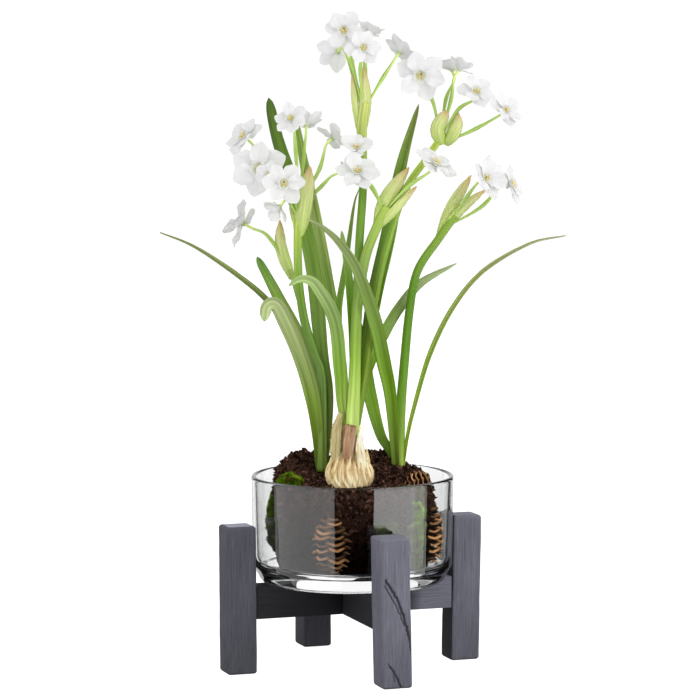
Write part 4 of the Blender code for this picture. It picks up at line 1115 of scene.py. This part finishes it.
def petal(shape, place, angle, length, width, rise, base, seed):
    v = np.linspace(0, 1, 22)[:, None]
    u = np.linspace(-1, 1, 15)[None]
    luck = random.Random(seed)
    bend = luck.uniform(-0.10, 0.16)
    twist = luck.uniform(-0.16, 0.16)
    fold = luck.uniform(0.05, 0.16)
    wave = luck.uniform(0, math.tau)
    outline = np.interp(v, *np.array(PETAL_OUTLINE).T)
    half = width / 2 * outline * (1 + 0.045 * np.sin(6.5 * math.pi * v + wave + 2 * np.sign(u)))
    reach = length * v
    lift = base + reach * math.sin(rise) + length * bend * v ** 2.2 - 1.0 * v
    lift = lift + fold * half * np.abs(u) ** 1.4 + twist * half * u * v
    lift = lift + 0.075 * length * np.sin(3.2 * math.pi * v + wave + u) * np.abs(u) ** 2 * v * outline
    lift = lift - 0.35 * np.exp(-(u * 4) ** 2) * np.sin(math.pi * v)
    out = reach * math.cos(rise)
    across = half * u + luck.uniform(-0.05, 0.05) * length * np.sin(math.pi * v)
    cos, sin = math.cos(angle), math.sin(angle)
    middle = np.stack([out * cos - across * sin, out * sin + across * cos, lift], -1)
    normal = unit(np.cross(np.gradient(middle, axis=0), np.gradient(middle, axis=1)))
    body = 0.28 * np.sqrt(np.clip(1 - 0.95 * u ** 4, 0, 1)) * np.clip(1.15 - v, 0.2, 1)
    share = np.clip(1 - v / 0.22, 0, 1) ** 1.5 * 0.55
    tint = PETAL_WHITE + (np.array(rgb("#cfdf9a")) - PETAL_WHITE) * share
    shape.skin(place(two_sided(middle, normal, body[..., None])), tint=tint[:, None],
               across=width / 2 * outline * there_and_back(u[0]) + seed, along=reach)


def cup(shape, place, luck):
    """The shallow cup at the flower's middle, with a wavy rim, and the tube behind the petals."""
    sides = 36
    angles = ring_angles(sides)
    profile = np.array(CUP_PROFILE)
    rings = turned_points(profile, sides)
    weight = np.clip(profile[:, 1:2] / 3.3, 0, 1) ** 2
    phase = luck.uniform(0, math.tau)
    ruffle = 0.22 * np.sin(6 * angles + phase) + 0.12 * np.sin(11 * angles + phase)
    rings[..., :2] *= (1 + 0.35 * ruffle * weight)[..., None]
    rings[..., 2] += ruffle * weight
    tint = CUP_WHITE + (np.array(rgb("#c5d77a")) - CUP_WHITE) * profile[:, 2:]
    shape.skin(place(rings), tint=tint[:, None])


def stamens(shape, place, luck):
    for index in range(6):
        angle = index * math.tau / 6 + luck.uniform(-0.2, 0.2)
        radius, height = STAMENS[index % 2]
        cos, sin = math.cos(angle), math.sin(angle)
        foot = np.array((0.6 * cos, 0.6 * sin, 0.1))
        head = np.array((radius * cos, radius * sin, height))
        route = smooth_route([foot, (foot + head) / 2 + (0, 0, 0.2), head], 6)
        tube(shape, place(route), (0.16, 0.16), 6, rgbs(["#e7e2a8"] * 2))
        way = unit((cos, sin, 0.9)) * 0.9
        colours = OLD_ANTHER if index == 1 else ANTHER
        tube(shape, place(smooth_route([head - way, head, head + way], 7)), (0.12, 0.46, 0.52, 0.44, 0.1), 8,
             rgbs(colours))
    route = smooth_route([(0, 0, 0), (0, 0, 1.6), (0, 0, 3.2)], 8)
    tube(shape, place(route), (0.22, 0.22, 0.2, 0.42), 8, rgbs(("#cfe08a", "#e5e6b0")))


def build_flowers():
    petals = thin_finish("petal", stretch=0.05, grain=(1.6, 2.0, 0.5), shades=((0.35, 0.955), (0.65, 1.0)),
                         rough=0.55, gloss=0.3, relief=(0.25, 0.5), through=0.58)
    anthers = stamen_finish()
    for head, blooms in HEADS.items():
        for number, (form, roll, centre, direction, size, _, _) in enumerate(blooms, 1):
            name = "flower_%s_%d" % (head, number)
            facing = Vector(direction).normalized().to_track_quat("Z", "Y").to_matrix()
            cos, sin = math.cos(math.radians(roll)), math.sin(math.radians(roll))
            turn = np.array(facing) @ np.array(((cos, -sin, 0), (sin, cos, 0), (0, 0, 1)))

            def place(points, turn=turn, scale=size / PATTERN_RADIUS, centre=centre):
                return np.asarray(points) * scale @ turn.T + centre

            shape = Shape()
            seed = seed_of(name)
            luck = random.Random(seed)
            rise = math.radians(PETAL_RISE[form])
            for index in range(6):
                length, width, base, extra = PETAL_RINGS[index % 2]
                angle = math.radians(60 * index + 30 + luck.uniform(-8, 8))
                length = PATTERN_RADIUS * length * luck.uniform(0.90, 1.0)
                width = width * luck.uniform(0.90, 1.05)
                lean = rise + math.radians(extra + luck.uniform(-9, 9))
                petal(shape, place, angle, length, width, lean, base, seed * 7 + index)
            cup(shape, place, luck)
            piece(name + "_petals", shape, petals, name, angle=50)
            heart = Shape()
            stamens(heart, place, luck)
            piece(name + "_stamens", heart, anthers, name)


def glowing(name, colour, strength):
    """A plain glowing surface for the backdrop and for cards that only show in glass."""
    material = bpy.data.materials.new(name)
    material.use_nodes = True
    tree = material.node_tree
    tree.nodes.clear()
    glow = tree.nodes.new("ShaderNodeEmission")
    glow.inputs["Color"].default_value = (*colour, 1.0)
    glow.inputs["Strength"].default_value = strength
    output = tree.nodes.new("ShaderNodeOutputMaterial")
    tree.links.new(glow.outputs[0], output.inputs["Surface"])
    return material


def stage_piece(name, verts, faces, material, *seen_by):
    mesh = bpy.data.meshes.new(name)
    mesh.from_pydata(verts, [], faces)
    item = bpy.data.objects.new(name, mesh)
    bpy.context.scene.collection.objects.link(item)
    mesh.materials.append(material)
    for ray in ("camera", "diffuse", "glossy", "transmission", "volume_scatter", "shadow"):
        setattr(item, "visible_" + ray, ray in seen_by)


def curved_card(name, start, stop, low, high, radius, strength, colour=(1, 1, 1)):
    """An upright curved card round the object from one bearing to another; 0 faces the camera."""
    verts = []
    for bearing in np.radians(np.linspace(start, stop, CARD_STEPS + 1)):
        x, y = radius * math.sin(bearing), -radius * math.cos(bearing)
        verts += [(x, y, low), (x, y, high)]
    faces = [(a, a + 1, a + 3, a + 2) for a in range(0, 2 * CARD_STEPS, 2)]
    seen_by = ("glossy", "transmission", "camera") if name == "backdrop" else ("glossy", "transmission")
    stage_piece(name, verts, faces, glowing(name, colour, strength), *seen_by)


def build_stage():
    floor = Finish("white_floor")
    floor.set(Base_Color=(0.25, 0.25, 0.25, 1.0), Roughness=0.9, Specular_IOR_Level=0.0,
              Emission_Color=(1.0, 1.0, 1.0, 1.0), Emission_Strength=1.0)

    def square(height):
        return [(x * FLOOR_HALF, y * FLOOR_HALF, height) for x, y in ((-1, -1), (1, -1), (1, 1), (-1, 1))]

    stage_piece("floor", square(0), [(0, 1, 2, 3)], floor.material, "camera")
    # what light bounces off below: far dimmer near the stand than the floor that the camera sees
    near = [(NEAR_RADIUS * math.cos(a), NEAR_RADIUS * math.sin(a), -0.002) for a in ring_angles(32)]
    near_glow = glowing("near_ground", (1, 1, 1), NEAR_GLOW)
    stage_piece("near_ground", near, [tuple(range(32))], near_glow, "diffuse")
    far_glow = glowing("far_ground", (1, 1, 1), FAR_GLOW)
    stage_piece("far_ground", square(-0.004), [(0, 1, 2, 3)], far_glow, "diffuse")
    for card in CARDS:
        curved_card(*card)


def build_lights():
    scene = bpy.context.scene
    world = bpy.data.worlds.new("soft_sky")
    scene.world = world
    world.use_nodes = True
    sky = world.node_tree.nodes["Background"]
    sky.inputs["Color"].default_value = (1.0, 1.0, 1.0, 1.0)
    sky.inputs["Strength"].default_value = SKY_STRENGTH
    world.cycles_visibility.glossy = False
    world.cycles_visibility.transmission = False
    for name, place, size, power in LAMPS:
        data = bpy.data.lights.new(name, "AREA")
        data.shape = "RECTANGLE"
        data.size, data.size_y = size, size
        data.energy = power
        item = bpy.data.objects.new(name, data)
        scene.collection.objects.link(item)
        item.location = place
        item.rotation_euler = (LAMP_AIM - Vector(place)).to_track_quat("-Z", "Y").to_euler()
        item.visible_camera = False
        item.visible_glossy = False
        item.visible_transmission = False


def build_camera():
    scene = bpy.context.scene
    data = bpy.data.cameras.new("camera")
    item = bpy.data.objects.new("camera", data)
    scene.collection.objects.link(item)
    away = Vector((0, -math.cos(CAMERA_ELEVATION), math.sin(CAMERA_ELEVATION)))
    item.location = CAMERA_AIM + away * CAMERA_DISTANCE
    item.rotation_euler = (CAMERA_AIM - item.location).to_track_quat("-Z", "Y").to_euler()
    data.sensor_width = CAMERA_SENSOR
    data.lens = CAMERA_LENS
    data.clip_start = 0.1
    scene.camera = item
    scene.view_settings.view_transform = "Standard"


build_camera()
build_stand()
build_bowl()
build_soil()
build_moss()
build_cones()
build_bulbs()
build_leaves_and_stems()
build_sheaths()
build_flowers()
build_stage()
build_lights()
